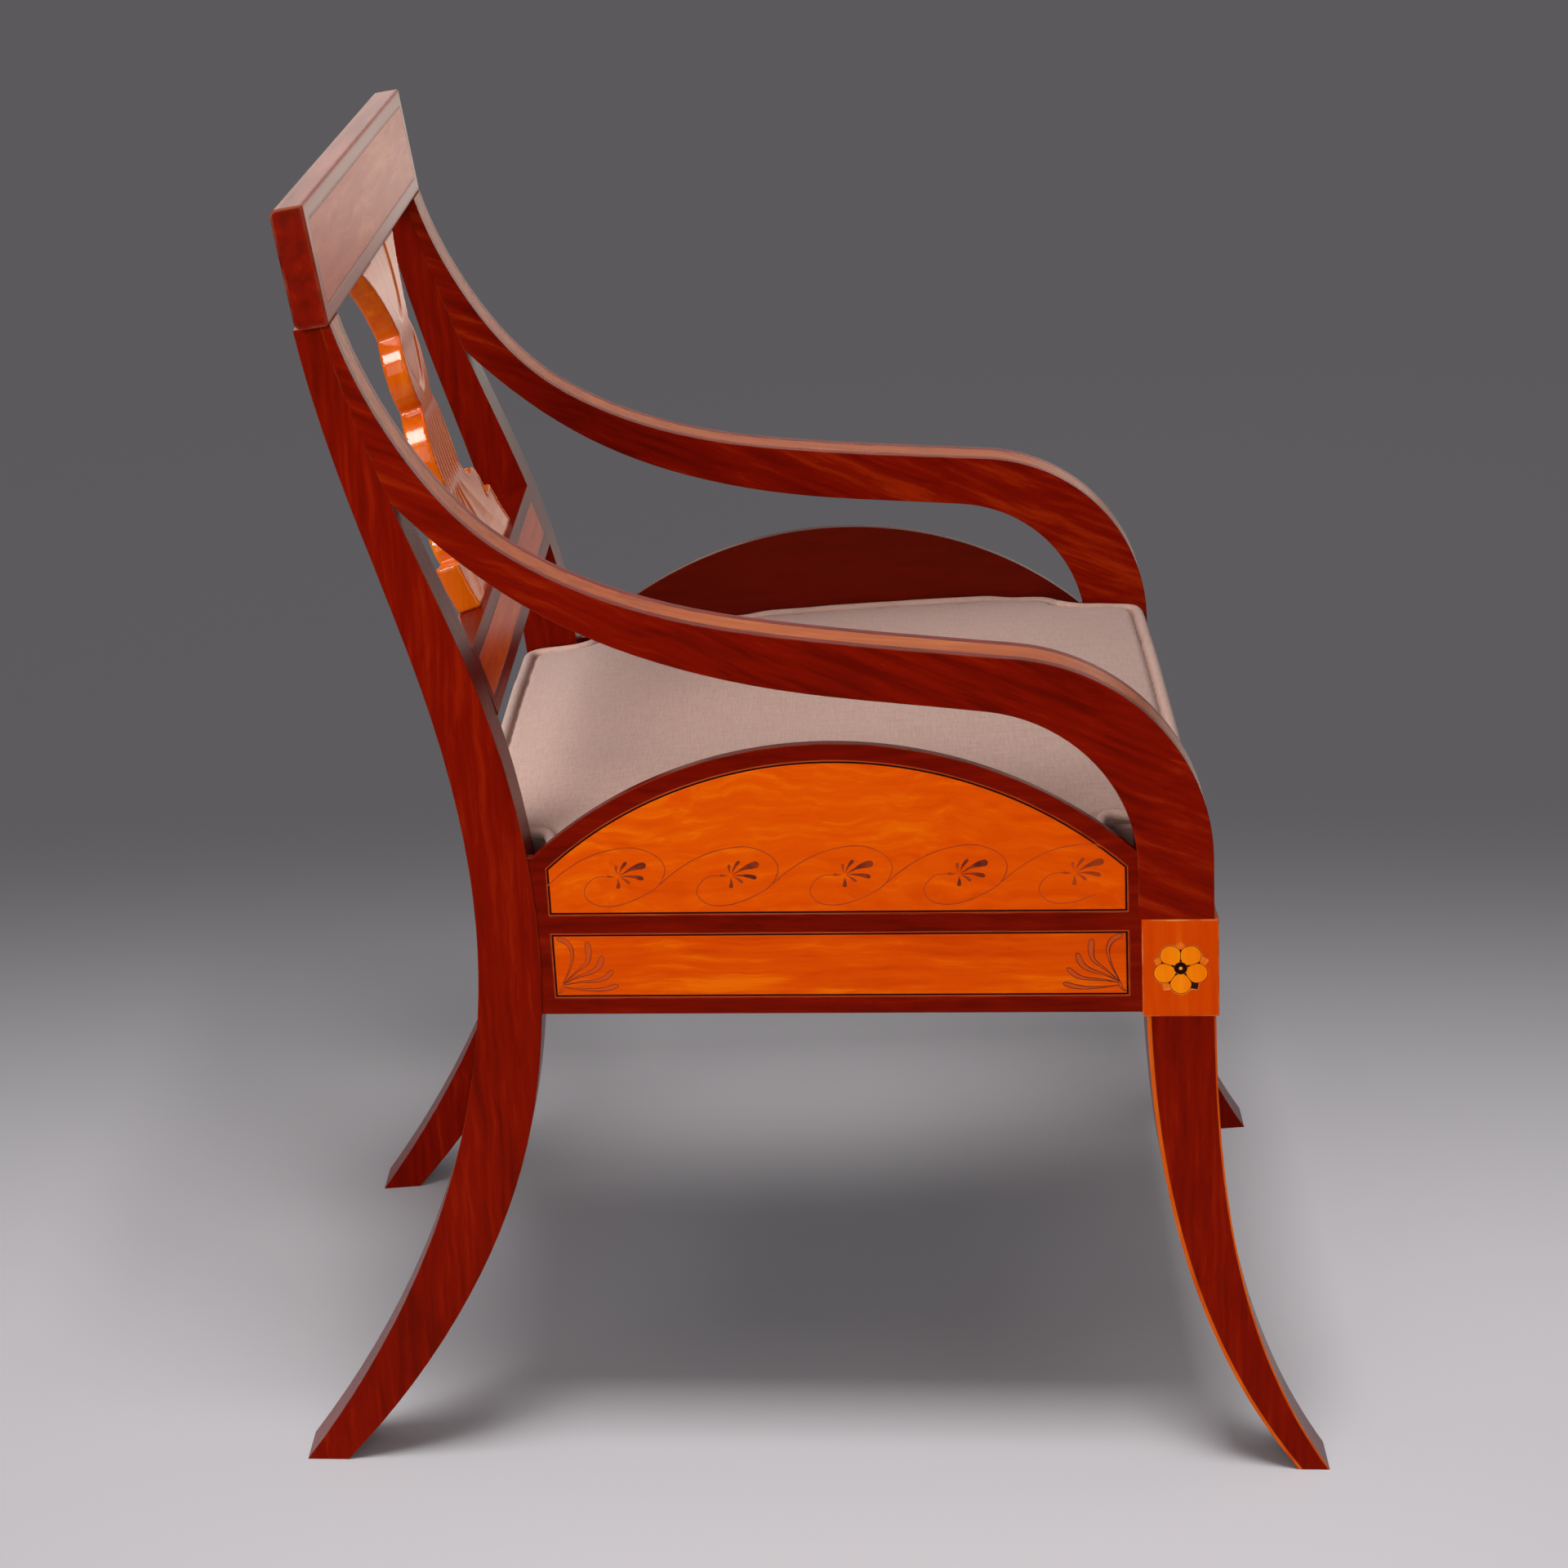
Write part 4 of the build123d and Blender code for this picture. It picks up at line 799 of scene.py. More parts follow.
def relaxed(mesh, points, rounds, pull=0.5):
    """Move each point towards the mean of its neighbours, a few times over."""
    flat = np.empty(len(mesh.edges) * 2, np.int32)
    mesh.edges.foreach_get("vertices", flat)
    a, b = flat.reshape(-1, 2).T
    count = np.bincount(np.concatenate([a, b]), minlength=len(points)).astype(float)
    for _ in range(rounds):
        total = np.zeros_like(points)
        np.add.at(total, a, points[b])
        np.add.at(total, b, points[a])
        points = points + pull * (total / count[:, None] - points)
    return points


def loop_points(edges_mesh, spacing):
    """Points at an even spacing along a closed loop of edges, in order."""
    ends = coordinates(edges_mesh)
    beside = {}
    for edge in edges_mesh.edges:
        a, b = edge.vertices
        beside.setdefault(a, []).append(b)
        beside.setdefault(b, []).append(a)
    order = [0]
    while True:
        ahead = [v for v in beside[order[-1]] if len(order) < 2 or v != order[-2]]
        if ahead[0] == order[0]:
            break
        order.append(ahead[0])
    path = ends[order + order[:1]]
    reach = np.concatenate([[0.0], np.cumsum(np.linalg.norm(np.diff(path, axis=0), axis=1))])
    steps = np.linspace(0.0, reach[-1], int(reach[-1] / spacing), endpoint=False)
    return np.stack([np.interp(steps, reach, path[:, k]) for k in range(3)], axis=1)


def closed_line(name, points):
    """Mesh of edges round a closed loop of points."""
    mesh = bpy.data.meshes.new(name)
    count = len(points)
    mesh.from_pydata([tuple(p) for p in points], [(i, (i + 1) % count) for i in range(count)], [])
    return mesh


def evened(points, rounds):
    """Take the wobble out of a closed loop of points."""
    for _ in range(rounds):
        points = 0.5 * points + 0.25 * (np.roll(points, 1, axis=0) + np.roll(points, -1, axis=0))
    return points


def nearest(points, targets):
    """For each target, the number of the nearest point and how far away it is."""
    tree = KDTree(len(points))
    for i, point in enumerate(points):
        tree.insert(point, i)
    tree.balance()
    found = [tree.find(target) for target in targets]
    return np.array([f[1] for f in found]), np.array([f[2] for f in found])


def step_between(value, low, high):
    """Smooth step from 0 at the low end to 1 at the high one."""
    share = np.clip((value - low) / (high - low), 0.0, 1.0)
    return share * share * (3.0 - 2.0 * share)


# %% Let the cloth down and fill it
CORNER_ROUNDS = 8
LET_DOWN = 1.0 * MM
LET_DOWN_REACH = 70.0 * MM
SEAM_HOLD = 5.0 * MM
SWELL_CAP = 11.0 * MM
SIM_FRAMES = 20
CLOTH_SETTINGS = {
    "quality": 5, "mass": 0.3, "tension_stiffness": 12.0, "compression_stiffness": 12.0,
    "shear_stiffness": 6.0, "bending_stiffness": 0.6, "use_pressure": True,
    "uniform_pressure_force": 4.0,
}


def let_down(piece, gap):
    """Round the cloth's corners and lower it between its seams; gives its points."""
    shaped = relaxed(piece.data, coordinates(piece.data), CORNER_ROUNDS)
    set_coordinates(piece.data, shaped)
    fall = LET_DOWN * step_between(gap, 0.0, LET_DOWN_REACH)
    lowered = shaped - vertex_normals(piece.data) * fall[:, None]
    set_coordinates(piece.data, lowered)
    return lowered


def swell(piece, held):
    """Fill a piece by cloth pressure, with its seams pinned."""
    pins = piece.vertex_groups.new(name="seams")
    pins.add([int(i) for i in np.nonzero(held)[0]], 1.0, "REPLACE")
    modifier = piece.modifiers.new("fill", "CLOTH")
    cloth = modifier.settings
    for key, value in CLOTH_SETTINGS.items():
        setattr(cloth, key, value)
    cloth.effector_weights.gravity = 0.0
    cloth.vertex_group_mass = pins.name
    modifier.point_cache.frame_start = 1
    modifier.point_cache.frame_end = SIM_FRAMES
    for step in range(1, SIM_FRAMES + 1):
        scene.frame_set(step)
    points = coordinates(evaluated_mesh(piece))
    piece.modifiers.remove(modifier)
    piece.vertex_groups.clear()
    scene.frame_set(1)
    return points


def filled(piece, lowered, gap):
    """Swell the cloth, and cap how far each point moves; gives its points."""
    move = swell(piece, gap < SEAM_HOLD) - lowered
    length = np.linalg.norm(move, axis=1)
    cap = np.minimum(1.0, SWELL_CAP / np.maximum(length, 1e-9))
    points = lowered + move * cap[:, None]
    set_coordinates(piece.data, points)
    print("swelled by up to mm:", round(float(length.max()) / MM, 1))
    return points


# %% Cord and notches
PIPING_PROUD = 1.2 * MM
PIPING_ROUNDS = 6
NOTCH_FROM = 190.0 * MM
# Front and rear end of the notches for arm supports and for posts.
NOTCHES = ((-250.0 * MM, -196.0 * MM), (143.0 * MM, 186.0 * MM))
NOTCH_EDGE = (3.0 * MM, 7.0 * MM)
NOTCH_CLEAR = 1.8 * MM


def in_notch(points):
    """1 for points beside the arm supports and the posts, and 0 elsewhere."""
    found = np.zeros(len(points))
    for front, rear in NOTCHES:
        along = (points[:, 1] > front) & (points[:, 1] < rear)
        found[along & (np.abs(points[:, 0]) > NOTCH_FROM)] = 1.0
    return found


def notch_shade(points, seam, index):
    """1 on the flanks inside the cushion's notches, which look nearly black on the real chair."""
    near, far = NOTCH_EDGE
    below = np.clip((seam[index, 2] - points[:, 2] - near) / (far - near), 0.0, 1.0)
    return in_notch(seam)[index] * below


def cord_path(piece, points, seam_vertices):
    """Path of the cord, proud of the seam and drawn in beside arm supports and posts."""
    seam = points[seam_vertices] + vertex_normals(piece.data)[seam_vertices] * PIPING_PROUD
    seam[:, 0] -= np.sign(seam[:, 0]) * NOTCH_CLEAR * in_notch(seam)
    return evened(seam, PIPING_ROUNDS)


# %% Creases, puckers and dents
SEAM_FINE = 1.0 * MM
CREASE_AT = 4.6 * MM
CREASE_WIDTH = 2.1 * MM
CREASE_DEPTH = 3.2 * MM
PUCKER_STEP = 19.0 * MM
PUCKER_DEPTH = 0.45 * MM
PUCKER_REACH = 20.0 * MM
PUCKER_SWAY = 2.0
PUCKER_SWAY_RATE = 1.7
DENT_SIZE = 45.0 * MM
# Each wave of the dents: its rate across the seat, its rate to the back, and where it starts.
DENT_WAVES = ((1.3, 0.7, 0.4), (-0.5, 1.1, 1.1))
DENT_DEPTH = 1.1 * MM
DENT_CLEAR = 40.0 * MM


def sewn(points, normals, seam):
    """Crease the cloth beside the cord, pucker it near the seam and dent it elsewhere.

    Gives the moved points, and how much painted shade each gets: up to 1 in a crease, up to 2 in a notch.
    """
    index, gap = nearest(seam, points)
    crease = np.exp(-(((gap - CREASE_AT) / CREASE_WIDTH) ** 2))
    along = index * SEAM_FINE / PUCKER_STEP
    sway = PUCKER_SWAY * np.sin(PUCKER_SWAY_RATE * along)
    gathers = np.sin(2.0 * np.pi * along + sway) * np.exp(-gap / PUCKER_REACH)
    open_cloth = 1.0 - np.exp(-((gap / DENT_CLEAR) ** 2))
    wide, deep = points[:, 0] / DENT_SIZE, points[:, 1] / DENT_SIZE
    waves = [np.sin(a * wide + b * deep + start) for a, b, start in DENT_WAVES]
    dents = waves[0] * waves[1] * open_cloth
    lift = PUCKER_DEPTH * gathers + DENT_DEPTH * dents - CREASE_DEPTH * crease
    dark = np.maximum(crease, 2.0 * notch_shade(points, seam, index))
    return points + normals * lift[:, None], dark


def make_finer(piece):
    """Split each face of a piece in four, smoothly."""
    finer = piece.modifiers.new("finer", "SUBSURF")
    finer.levels = 1
    finer.render_levels = 1
    mesh = evaluated_mesh(piece)
    piece.modifiers.remove(finer)
    piece.data = mesh
    return mesh


# %% Make the cushion
VOXEL = 5.0 * MM
SEAM_STEP = 4.0 * MM


def make_cushion():
    top_seam = loop_points(arris_edges("seat_cushion", Vector((0, 0, 1))), SEAM_STEP)
    low_seam = loop_points(arris_edges("seat_cushion", Vector((0, 0, -1))), SEAM_STEP)
    piece = remeshed(object_from_bmesh("linen_cushion", merged_copy("seat_cushion")), VOXEL)
    start = coordinates(piece.data)
    seam_vertices, _ = nearest(start, top_seam)
    _, gap = nearest(np.vstack([top_seam, low_seam]), start)
    shape = let_down(piece, gap)
    shape = filled(piece, shape, gap)
    seam = cord_path(piece, shape, seam_vertices)
    mesh = make_finer(piece)
    close_seam = loop_points(closed_line("close_seam", seam), SEAM_FINE)
    points, dark = sewn(coordinates(mesh), vertex_normals(mesh), close_seam)
    points[:, 2] = np.maximum(points[:, 2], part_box("seat_cushion")[0].z)
    set_coordinates(mesh, points)
    mesh.attributes.new("crease", "FLOAT", "POINT").data.foreach_set("value", dark)
    mesh.materials.clear()
    mesh.materials.append(linen)
    mesh.shade_smooth()
    return piece, seam


cushion, seam_path = make_cushion()
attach(cushion, "cushion")
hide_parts("seat_cushion")
print("cushion triangles:", sum(len(p.vertices) - 2 for p in cushion.data.polygons))

# %% Piping in the top seam
PIPING = 7.0 * MM
piping = grow("linen_piping", closed_line("seam", seam_path), ROUND_LINE,
              {"Width": PIPING, "Sides": 12, "Material": linen})
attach(piping, "cushion")
cord_steps = np.linalg.norm(seam_path - np.roll(seam_path, 1, axis=0), axis=1)
print("piping length mm:", round(float(cord_steps.sum()) / MM))

# %% [markdown]
# ## The carved splat
# The splat is sawn from a board, then carved on its face: two sunk leaves that follow its
# outline, flutes down the stem, and a fan of leaf ribs over the foot. A fine remesh of the
# solid gives the face enough points. The face is bowed, so its level at each height is read
# from the sawn outline, and each point is set to that level less the carving's depth there.
# How far a point lies from the sawn outline gives the leaves their plain border.

# %% Carve the splat
SPLAT_VOXEL = 1.3 * MM
CARVE_DEPTH = 1.0 * MM
FLUTE_DEPTH = 0.6 * MM
RIB_DEPTH = 0.8 * MM
LEAF_ROUND = 26.0 * MM
FLUTE_PITCH = 9.0 * MM
RIB_COUNT = 15
LEAF_BORDER = (3.5 * MM, 9.0 * MM)
FINE_BORDER = (1.5 * MM, 4.0 * MM)
SAWN_CLEAR = 1.0 * MM
HIGH_LEAF = (180.0 * MM, 300.0 * MM)
LOW_LEAF = (131.0 * MM, 300.0 * MM)
LOW_LEAF_SPAN = (110.0 * MM, 164.0 * MM)
STEM_SPAN = (66.0 * MM, 114.0 * MM)
FOOT_SPAN = (-10.0 * MM, 60.0 * MM)
LEAF_SOFT = 4.0 * MM
LEAF_SPAN_SOFT = 7.0 * MM
STEM_SOFT = 6.0 * MM
FOOT_SOFT = 5.0 * MM
RIB_CENTRE = 74.0 * MM


def window(value, ends, soft):
    """1 between two ends, with soft shoulders."""
    low, high = ends
    past_low = step_between(value, low - soft, low + soft)
    past_high = step_between(value, high - soft, high + soft)
    return past_low * (1.0 - past_high)


def carving(across_face, up_face, border):
    """Depth of the carving at points of the splat's face."""
    bowl = up_face - across_face**2 / LEAF_ROUND
    leaf = window(bowl, HIGH_LEAF, LEAF_SOFT)
    leaf += window(bowl, LOW_LEAF, LEAF_SOFT) * window(up_face, LOW_LEAF_SPAN, LEAF_SPAN_SOFT)
    leaves = CARVE_DEPTH * leaf * step_between(border, *LEAF_BORDER)
    flute = 0.5 - 0.5 * np.cos(2.0 * np.pi * across_face / FLUTE_PITCH)
    flutes = FLUTE_DEPTH * flute * window(up_face, STEM_SPAN, STEM_SOFT)
    turn = np.arctan2(across_face, RIB_CENTRE - up_face)
    rib = np.abs(np.sin(0.5 * RIB_COUNT * turn))
    ribs = RIB_DEPTH * rib * window(up_face, FOOT_SPAN, FOOT_SOFT)
    return leaves + (flutes + ribs) * step_between(border, *FINE_BORDER)


def splat_front():
    """Mean direction that the splat's bowed face looks in."""
    solid = merged_copy("splat")
    total = Vector()
    for face in solid.faces:
        if face.normal.y < -0.5:
            total += face.normal * face.calc_area()
    solid.free()
    return np.array(total.normalized())


def loop_fill(node, outward, spacing=1.0 * MM):
    """Points at a close spacing along the edges of a face."""
    edges = arris_edges(node, Vector(outward))
    ends = coordinates(edges)
    points = []
    for edge in edges.edges:
        a, b = ends[edge.vertices[0]], ends[edge.vertices[1]]
        steps = max(2, int(np.linalg.norm(b - a) / spacing) + 1)
        points += [a + (b - a) * t for t in np.linspace(0.0, 1.0, steps)]
    return np.array(points)


def carve_splat():
    front = splat_front()
    up = np.array((0.0, -front[2], front[1])) * np.sign(front[1])
    rims = loop_fill("splat", front)
    wide = np.abs(rims[:, 0])
    foot = (rims @ up)[wide > wide.max() - 1.0 * MM].min()
    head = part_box("crest_rail")[0].z
    sawn = rims[(rims @ up > foot + SAWN_CLEAR) & (rims[:, 2] < head)]
    order = np.argsort(sawn @ up)
    piece = remeshed(object_from_bmesh("carved_splat", merged_copy("splat")), SPLAT_VOXEL)
    points = coordinates(piece.data)
    height = points @ up
    level = np.interp(height, (sawn @ up)[order], (sawn @ front)[order])
    depth = points @ front - level
    on_face = (vertex_normals(piece.data) @ front > 0.7) & (np.abs(depth) < SPLAT_VOXEL)
    _, border = nearest(sawn, points)
    sunk = carving(points[:, 0], height - foot, border)
    move = np.where(on_face, -depth - sunk, 0.0)
    set_coordinates(piece.data, points + move[:, None] * front)
    piece.data.materials.clear()
    piece.data.materials.append(birch_splat)
    piece.data.shade_smooth()
    return piece, height.max() - foot


splat, splat_length = carve_splat()
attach(splat, "frame")
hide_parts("splat")
print("splat length mm:", round(splat_length / MM), "triangles:",
      sum(len(p.vertices) - 2 for p in splat.data.polygons))

# %% [markdown]
# ## Pen-work on the panels
# Each lunette carries a running vine drawn with the pen, and each lower panel has a leaf
# spray in two corners. Ink is a film on the veneer, so every stroke is a very thin closed
# strip, sunk in the panel by most of its thickness. A stroke is given as a few points in the
# plane of the panel, in millimetres: how far back from its front end, and how high above its
# lower edge.

# %% Panel planes
SPLAY = math.radians(4.7)


class PanelPlane:
    """Outer face of a side panel, with its origin at the lower front corner."""

    def __init__(self, node):
        low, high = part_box(node)
        right = node.startswith("right")
        mirror = 1.0 if right else -1.0
        self.origin = Vector((low.x if right else high.x, low.y, low.z))
        self.back = Vector((mirror * math.sin(SPLAY), math.cos(SPLAY), 0.0))
        self.out = Vector((-mirror * math.cos(SPLAY), math.sin(SPLAY), 0.0))
        self.length = (high.y - low.y) / math.cos(SPLAY)
        self.height = high.z - low.z

    def vector(self, back, up, out=0.0):
        return self.back * back + Vector((0.0, 0.0, up)) + self.out * out

    def point(self, back, up, out=0.0):
        return self.origin + self.vector(back, up, out)


# %% Strokes
INK_SUNK = 0.15 * MM
STROKE_STEPS = 10
LEAF_GROWTH = 1.35
LEAF_TIP = 7
LEAF_STALK = 0.12
OUTLINE_HALF = 0.23
ACCENT_WIDTH = 0.36
ACCENT_OVER = 0.05
FILL_PROUD = 0.03 * MM
OUTLINE_PROUD = 0.05 * MM
ACCENT_PROUD = 0.06 * MM


def smooth_path(points, steps=STROKE_STEPS):
    """Smooth line through a few points of the plane, as an array."""
    given = np.array(points, float)
    padded = np.vstack([2 * given[0] - given[1], given, 2 * given[-1] - given[-2]])
    path = []
    for a, b, c, d in zip(padded[:-3], padded[1:-2], padded[2:-1], padded[3:]):
        for t in np.arange(steps) / steps:
            path.append(0.5 * (2 * b + (c - a) * t + (2 * a - 5 * b + 4 * c - d) * t**2
                               + (3 * b - a - 3 * c + d) * t**3))
    path.append(given[-1])
    return np.array(path)


def heading(angle):
    """Unit direction in the plane of a panel: 0 degrees is to the front, and 90 is up."""
    turn = math.radians(angle)
    return np.array((-math.cos(turn), math.sin(turn)))


def across(path):
    """Unit direction across a path at each of its points."""
    along = np.gradient(path, axis=0)
    along /= np.maximum(np.linalg.norm(along, axis=1), 1e-9)[:, None]
    return np.stack([-along[:, 1], along[:, 0]], axis=1)


class Ink:
    """Collects strokes as thin closed strips, each with its own darkness."""

    def __init__(self, to_space):
        self.to_space = to_space
        self.points = []
        self.faces = []
        self.dark = []

    def strip(self, left, right, proud, dark):
        """Closed strip between two lines of the plane."""
        first = len(self.points)
        count = len(left)
        for line, out in ((left, proud), (right, proud), (right, -INK_SUNK), (left, -INK_SUNK)):
            self.points += [self.to_space(p[0] * MM, p[1] * MM, out) for p in line]
        self.dark += [dark] * (4 * count)
        rows = [first + k * count for k in range(4)]
        for a, b in zip(rows, rows[1:] + rows[:1]):
            for i in range(count - 1):
                self.faces.append((a + i, b + i, b + i + 1, a + i + 1))
        self.faces.append(tuple(row for row in rows))
        self.faces.append(tuple(row + count - 1 for row in reversed(rows)))

    def stroke(self, points, widths, proud, dark, shift=0.0):
        """Pen stroke of a changing width along a smooth line."""
        path = smooth_path(points)
        side = across(path)
        share = np.linspace(0.0, 1.0, len(path))
        half = np.interp(share, np.linspace(0.0, 1.0, len(widths)), widths)[:, None] / 2.0
        middle = path + side * shift
        self.strip(middle + side * half, middle - side * half, proud, dark)

    def leaf(self, points, width, fill, outline=None, accent=None):
        """Leaf that starts as a stalk and ends in a round tip."""
        path = smooth_path(points)
        side = across(path)
        share = np.linspace(0.0, 1.0, len(path))
        half = width / 2.0 * share**LEAF_GROWTH * np.sqrt(1.0 - share**LEAF_TIP) + LEAF_STALK
        left, right = path + side * half[:, None], path - side * half[:, None]
        self.strip(left, right, FILL_PROUD, fill)
        if outline is not None:
            edge = np.vstack([left, right[::-1]])
            rim = across(edge) * OUTLINE_HALF
            self.strip(edge + rim, edge - rim, OUTLINE_PROUD, outline)
        if accent is not None:
            taper = ACCENT_WIDTH * np.sin(np.pi * np.clip(share, 0.02, 0.98))
            inner = left - side * taper[:, None]
            self.strip(left + side * ACCENT_OVER, inner, ACCENT_PROUD, accent)

    def mesh(self, name):
        data = bpy.data.meshes.new(name)
        data.from_pydata(self.points, [], self.faces)
        data.attributes.new("ink", "FLOAT", "POINT").data.foreach_set("value", self.dark)
        solid = bmesh.new()
        solid.from_mesh(data)
        bmesh.ops.recalc_face_normals(solid, faces=solid.faces)
        solid.to_mesh(data)
        solid.free()
        return data


# %% Ink finish
INK_PALE = rgb(206, 74, 2)
INK_DARK = rgb(64, 12, 3)


def ink_finish():
    """Old ink, brown where it is thick and nearly the panel's colour where it is thin."""
    material, tree, shader = new_material(
        "pen_ink", IOR=1.27, Roughness=0.3, Coat_Weight=0.1, Coat_Roughness=0.08
    )
    link = tree.links.new
    where = add(tree, "ShaderNodeTexCoord")
    worn = add(tree, "ShaderNodeTexNoise", {"Scale": 120.0, "Detail": 4.0})
    link(where.outputs["Object"], worn.inputs["Vector"])
    thin = remap(tree, worn.outputs["Fac"], 0.3, 0.7, 1.0, 0.55)
    ink = add(tree, "ShaderNodeAttribute", attribute_name="ink")
    fade = add(tree, "ShaderNodeAttribute", attribute_name="fade")
    kept = remap(tree, fade.outputs["Fac"], 0.0, 1.0, 0.75, 1.0)
    strength = math_node(tree, "MULTIPLY", math_node(tree, "MULTIPLY", ink.outputs["Fac"], thin), kept)
    link(blend_colours(tree, strength, INK_PALE, INK_DARK), shader.inputs["Base Color"])
    return material


pen_ink = ink_finish()
print("ink nodes:", len(pen_ink.node_tree.nodes))

# %% [markdown]
# ## The running vine
# One turn of the vine is drawn once: a stem that rises, loops over and curls back to a small
# flower of teardrop leaves. The turn repeats at an even pitch, so Geometry Nodes puts a copy
# on each point of a line. A fixed seed makes some copies paler, as worn ink is.

# %% Vine tree
PALEST_TURN = 0.45


def vine_tree():
    """Copies one drawn turn along a line of points."""
    tree, given, made = geometry_tree("running_vine", [
        ("Turn", "NodeSocketObject", None),
        ("Turns", "NodeSocketInt", 5),
        ("Start", "NodeSocketVector", None),
        ("Step", "NodeSocketVector", None),
        ("Seed", "NodeSocketInt", 4),
        ("Material", "NodeSocketMaterial", None),
    ])
    link = tree.links.new
    line = add(tree, "GeometryNodeMeshLine", mode="OFFSET")
    link(given.outputs["Turns"], line.inputs["Count"])
    link(given.outputs["Start"], line.inputs["Start Location"])
    link(given.outputs["Step"], line.inputs["Offset"])
    turn = add(tree, "GeometryNodeObjectInfo", transform_space="ORIGINAL")
    link(given.outputs["Turn"], turn.inputs["Object"])
    copies = add(tree, "GeometryNodeInstanceOnPoints")
    link(line.outputs["Mesh"], copies.inputs["Points"])
    link(turn.outputs["Geometry"], copies.inputs["Instance"])
    chance = add(tree, "FunctionNodeRandomValue", data_type="FLOAT")
    chance.inputs["Min"].default_value = PALEST_TURN
    link(given.outputs["Seed"], chance.inputs["Seed"])
    joined = add(tree, "GeometryNodeJoinGeometry")
    real = add(tree, "GeometryNodeRealizeInstances")
    fade = add(tree, "GeometryNodeStoreNamedAttribute", data_type="FLOAT", domain="INSTANCE")
    fade.inputs["Name"].default_value = "fade"
    link(copies.outputs["Instances"], fade.inputs["Geometry"])
    link(chance.outputs[1], fade.inputs["Value"])
    link(fade.outputs["Geometry"], real.inputs["Geometry"])
    link(real.outputs["Geometry"], joined.inputs["Geometry"])
    link(given.outputs["Geometry"], joined.inputs["Geometry"])
    finish_tree(tree, given, made, joined.outputs["Geometry"])
    return tree


RUNNING_VINE = vine_tree()
print("vine nodes:", len(RUNNING_VINE.nodes))

# %% Vine strokes
STEM_WIDTHS = (0.5, 0.45, 0.5, 0.35)
STEM_DARK = 0.7
PALE_WIDTHS = (0.3, 0.25, 0.3, 0.2)
PALE_SHIFT = 0.42
PALE_PROUD = 0.035 * MM
LEAF_START = 1.5
LEAF_BEND_AT = 0.55
LEAF_BEND = 0.05
VINE_TURNS = 4
VINE_PITCH = 71.5
VINE_FRONT = 31.3
VINE_UP = 24.4
VINE_STEM = [
    (45.3, -5.8), (36, 2.2), (23, 10.7), (7.7, 16.9), (-10.2, 19.2), (-24.3, 14.1), (-30.2, 5.1),
    (-25.6, -6.2), (-14, -14), (1.3, -19.7), (14, -19.7), (21.2, -14), (21, -7), (14, -0.6), (3.8, 0),
]
VINE_END = [VINE_STEM[:5] + [(-18, 17.2)], [(-13, -14.5)] + VINE_STEM[9:]]
# Each leaf: its angle, its length, its width, and how dark the ink is.
VINE_LEAVES = [(23, 20, 6.4, 0.95), (-6, 16.6, 4.0, 1.0), (58, 11.5, 3.0, 0.9), (-33, 9.0, 2.8, 0.7),
               (95, 7.5, 2.5, 0.6), (-92, 8.4, 3.6, 0.9), (178, 7.0, 2.3, 0.5)]


def draw_turn(name, to_space, stems):
    """One turn of the vine, drawn round the foot of its flower."""
    ink = Ink(to_space)
    for stem in stems:
        ink.stroke(stem, STEM_WIDTHS, FILL_PROUD, STEM_DARK)
        ink.stroke(stem, PALE_WIDTHS, PALE_PROUD, 0.0, shift=PALE_SHIFT)
    for angle, length, width, dark in VINE_LEAVES:
        way = heading(angle)
        bend = np.array((way[1], -way[0])) * LEAF_BEND * length
        middle = way * length * LEAF_BEND_AT + bend
        ink.leaf([way * LEAF_START, middle, way * length], width, dark)
    return ink.mesh(name)


def draw_vine(side):
    """Whole turns from the back of the panel, and a paler last one whose stem breaks off."""
    plane = PanelPlane(side + "_lunette_panel")

    def at_front(back, up, out):
        return plane.point(VINE_FRONT * MM + back, VINE_UP * MM + up, out)

    turn = linked("vine_turn", draw_turn("vine_turn", plane.vector, [VINE_STEM]))
    start = plane.point((VINE_FRONT + VINE_PITCH) * MM, VINE_UP * MM)
    vine = grow(side + "_vine_scroll", draw_turn("vine_end", at_front, VINE_END), RUNNING_VINE, {
        "Turn": turn, "Turns": VINE_TURNS, "Start": start, "Step": plane.vector(VINE_PITCH * MM, 0.0),
        "Material": pen_ink,
    }, smooth=False)
    bpy.data.objects.remove(turn)
    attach(vine, "frame")
    return plane, vine


for side in ("right", "left"):
    plane, vine = draw_vine(side)
    print(side, "lunette mm:", round(plane.length / MM), "x", round(plane.height / MM), "vine faces:",
          len(vine.data.polygons))

# %% Leaf sprays in the corners of the lower panels
# Each leaf: the points of its middle line, and its width.
SPRAY_LEAVES = [
    ([(4.0, 7.7), (9.3, 19), (11.3, 29), (8.4, 36), (2.2, 39.2)], 4.6),
    ([(4.4, 8.0), (13.6, 16.4), (20.4, 22.5), (21.8, 29.5), (21.2, 36.6)], 5.4),
    ([(4.8, 7.8), (13, 12.2), (22, 15.5), (27.6, 19.5), (30.6, 27)], 5.0),
    ([(5.2, 7.0), (14, 8.8), (25, 9.8), (31.5, 12), (36.8, 17)], 4.2),
    ([(5.2, 5.2), (14, 4.0), (25, 3.6), (33, 4.6), (39.6, 6.6)], 4.2),
]
SPRAY_FOOT = [(0.6, 1.2), (3.0, 3.2), (4.6, 7.6)]
SPRAY_FOOT_WIDTH = 2.4
# Fill, outline and accent of the front spray, and of the rear one, which is more worn.
SPRAY_INK = {False: (0.2, 1.5, 1.7), True: (0.1, 1.0, 1.2)}


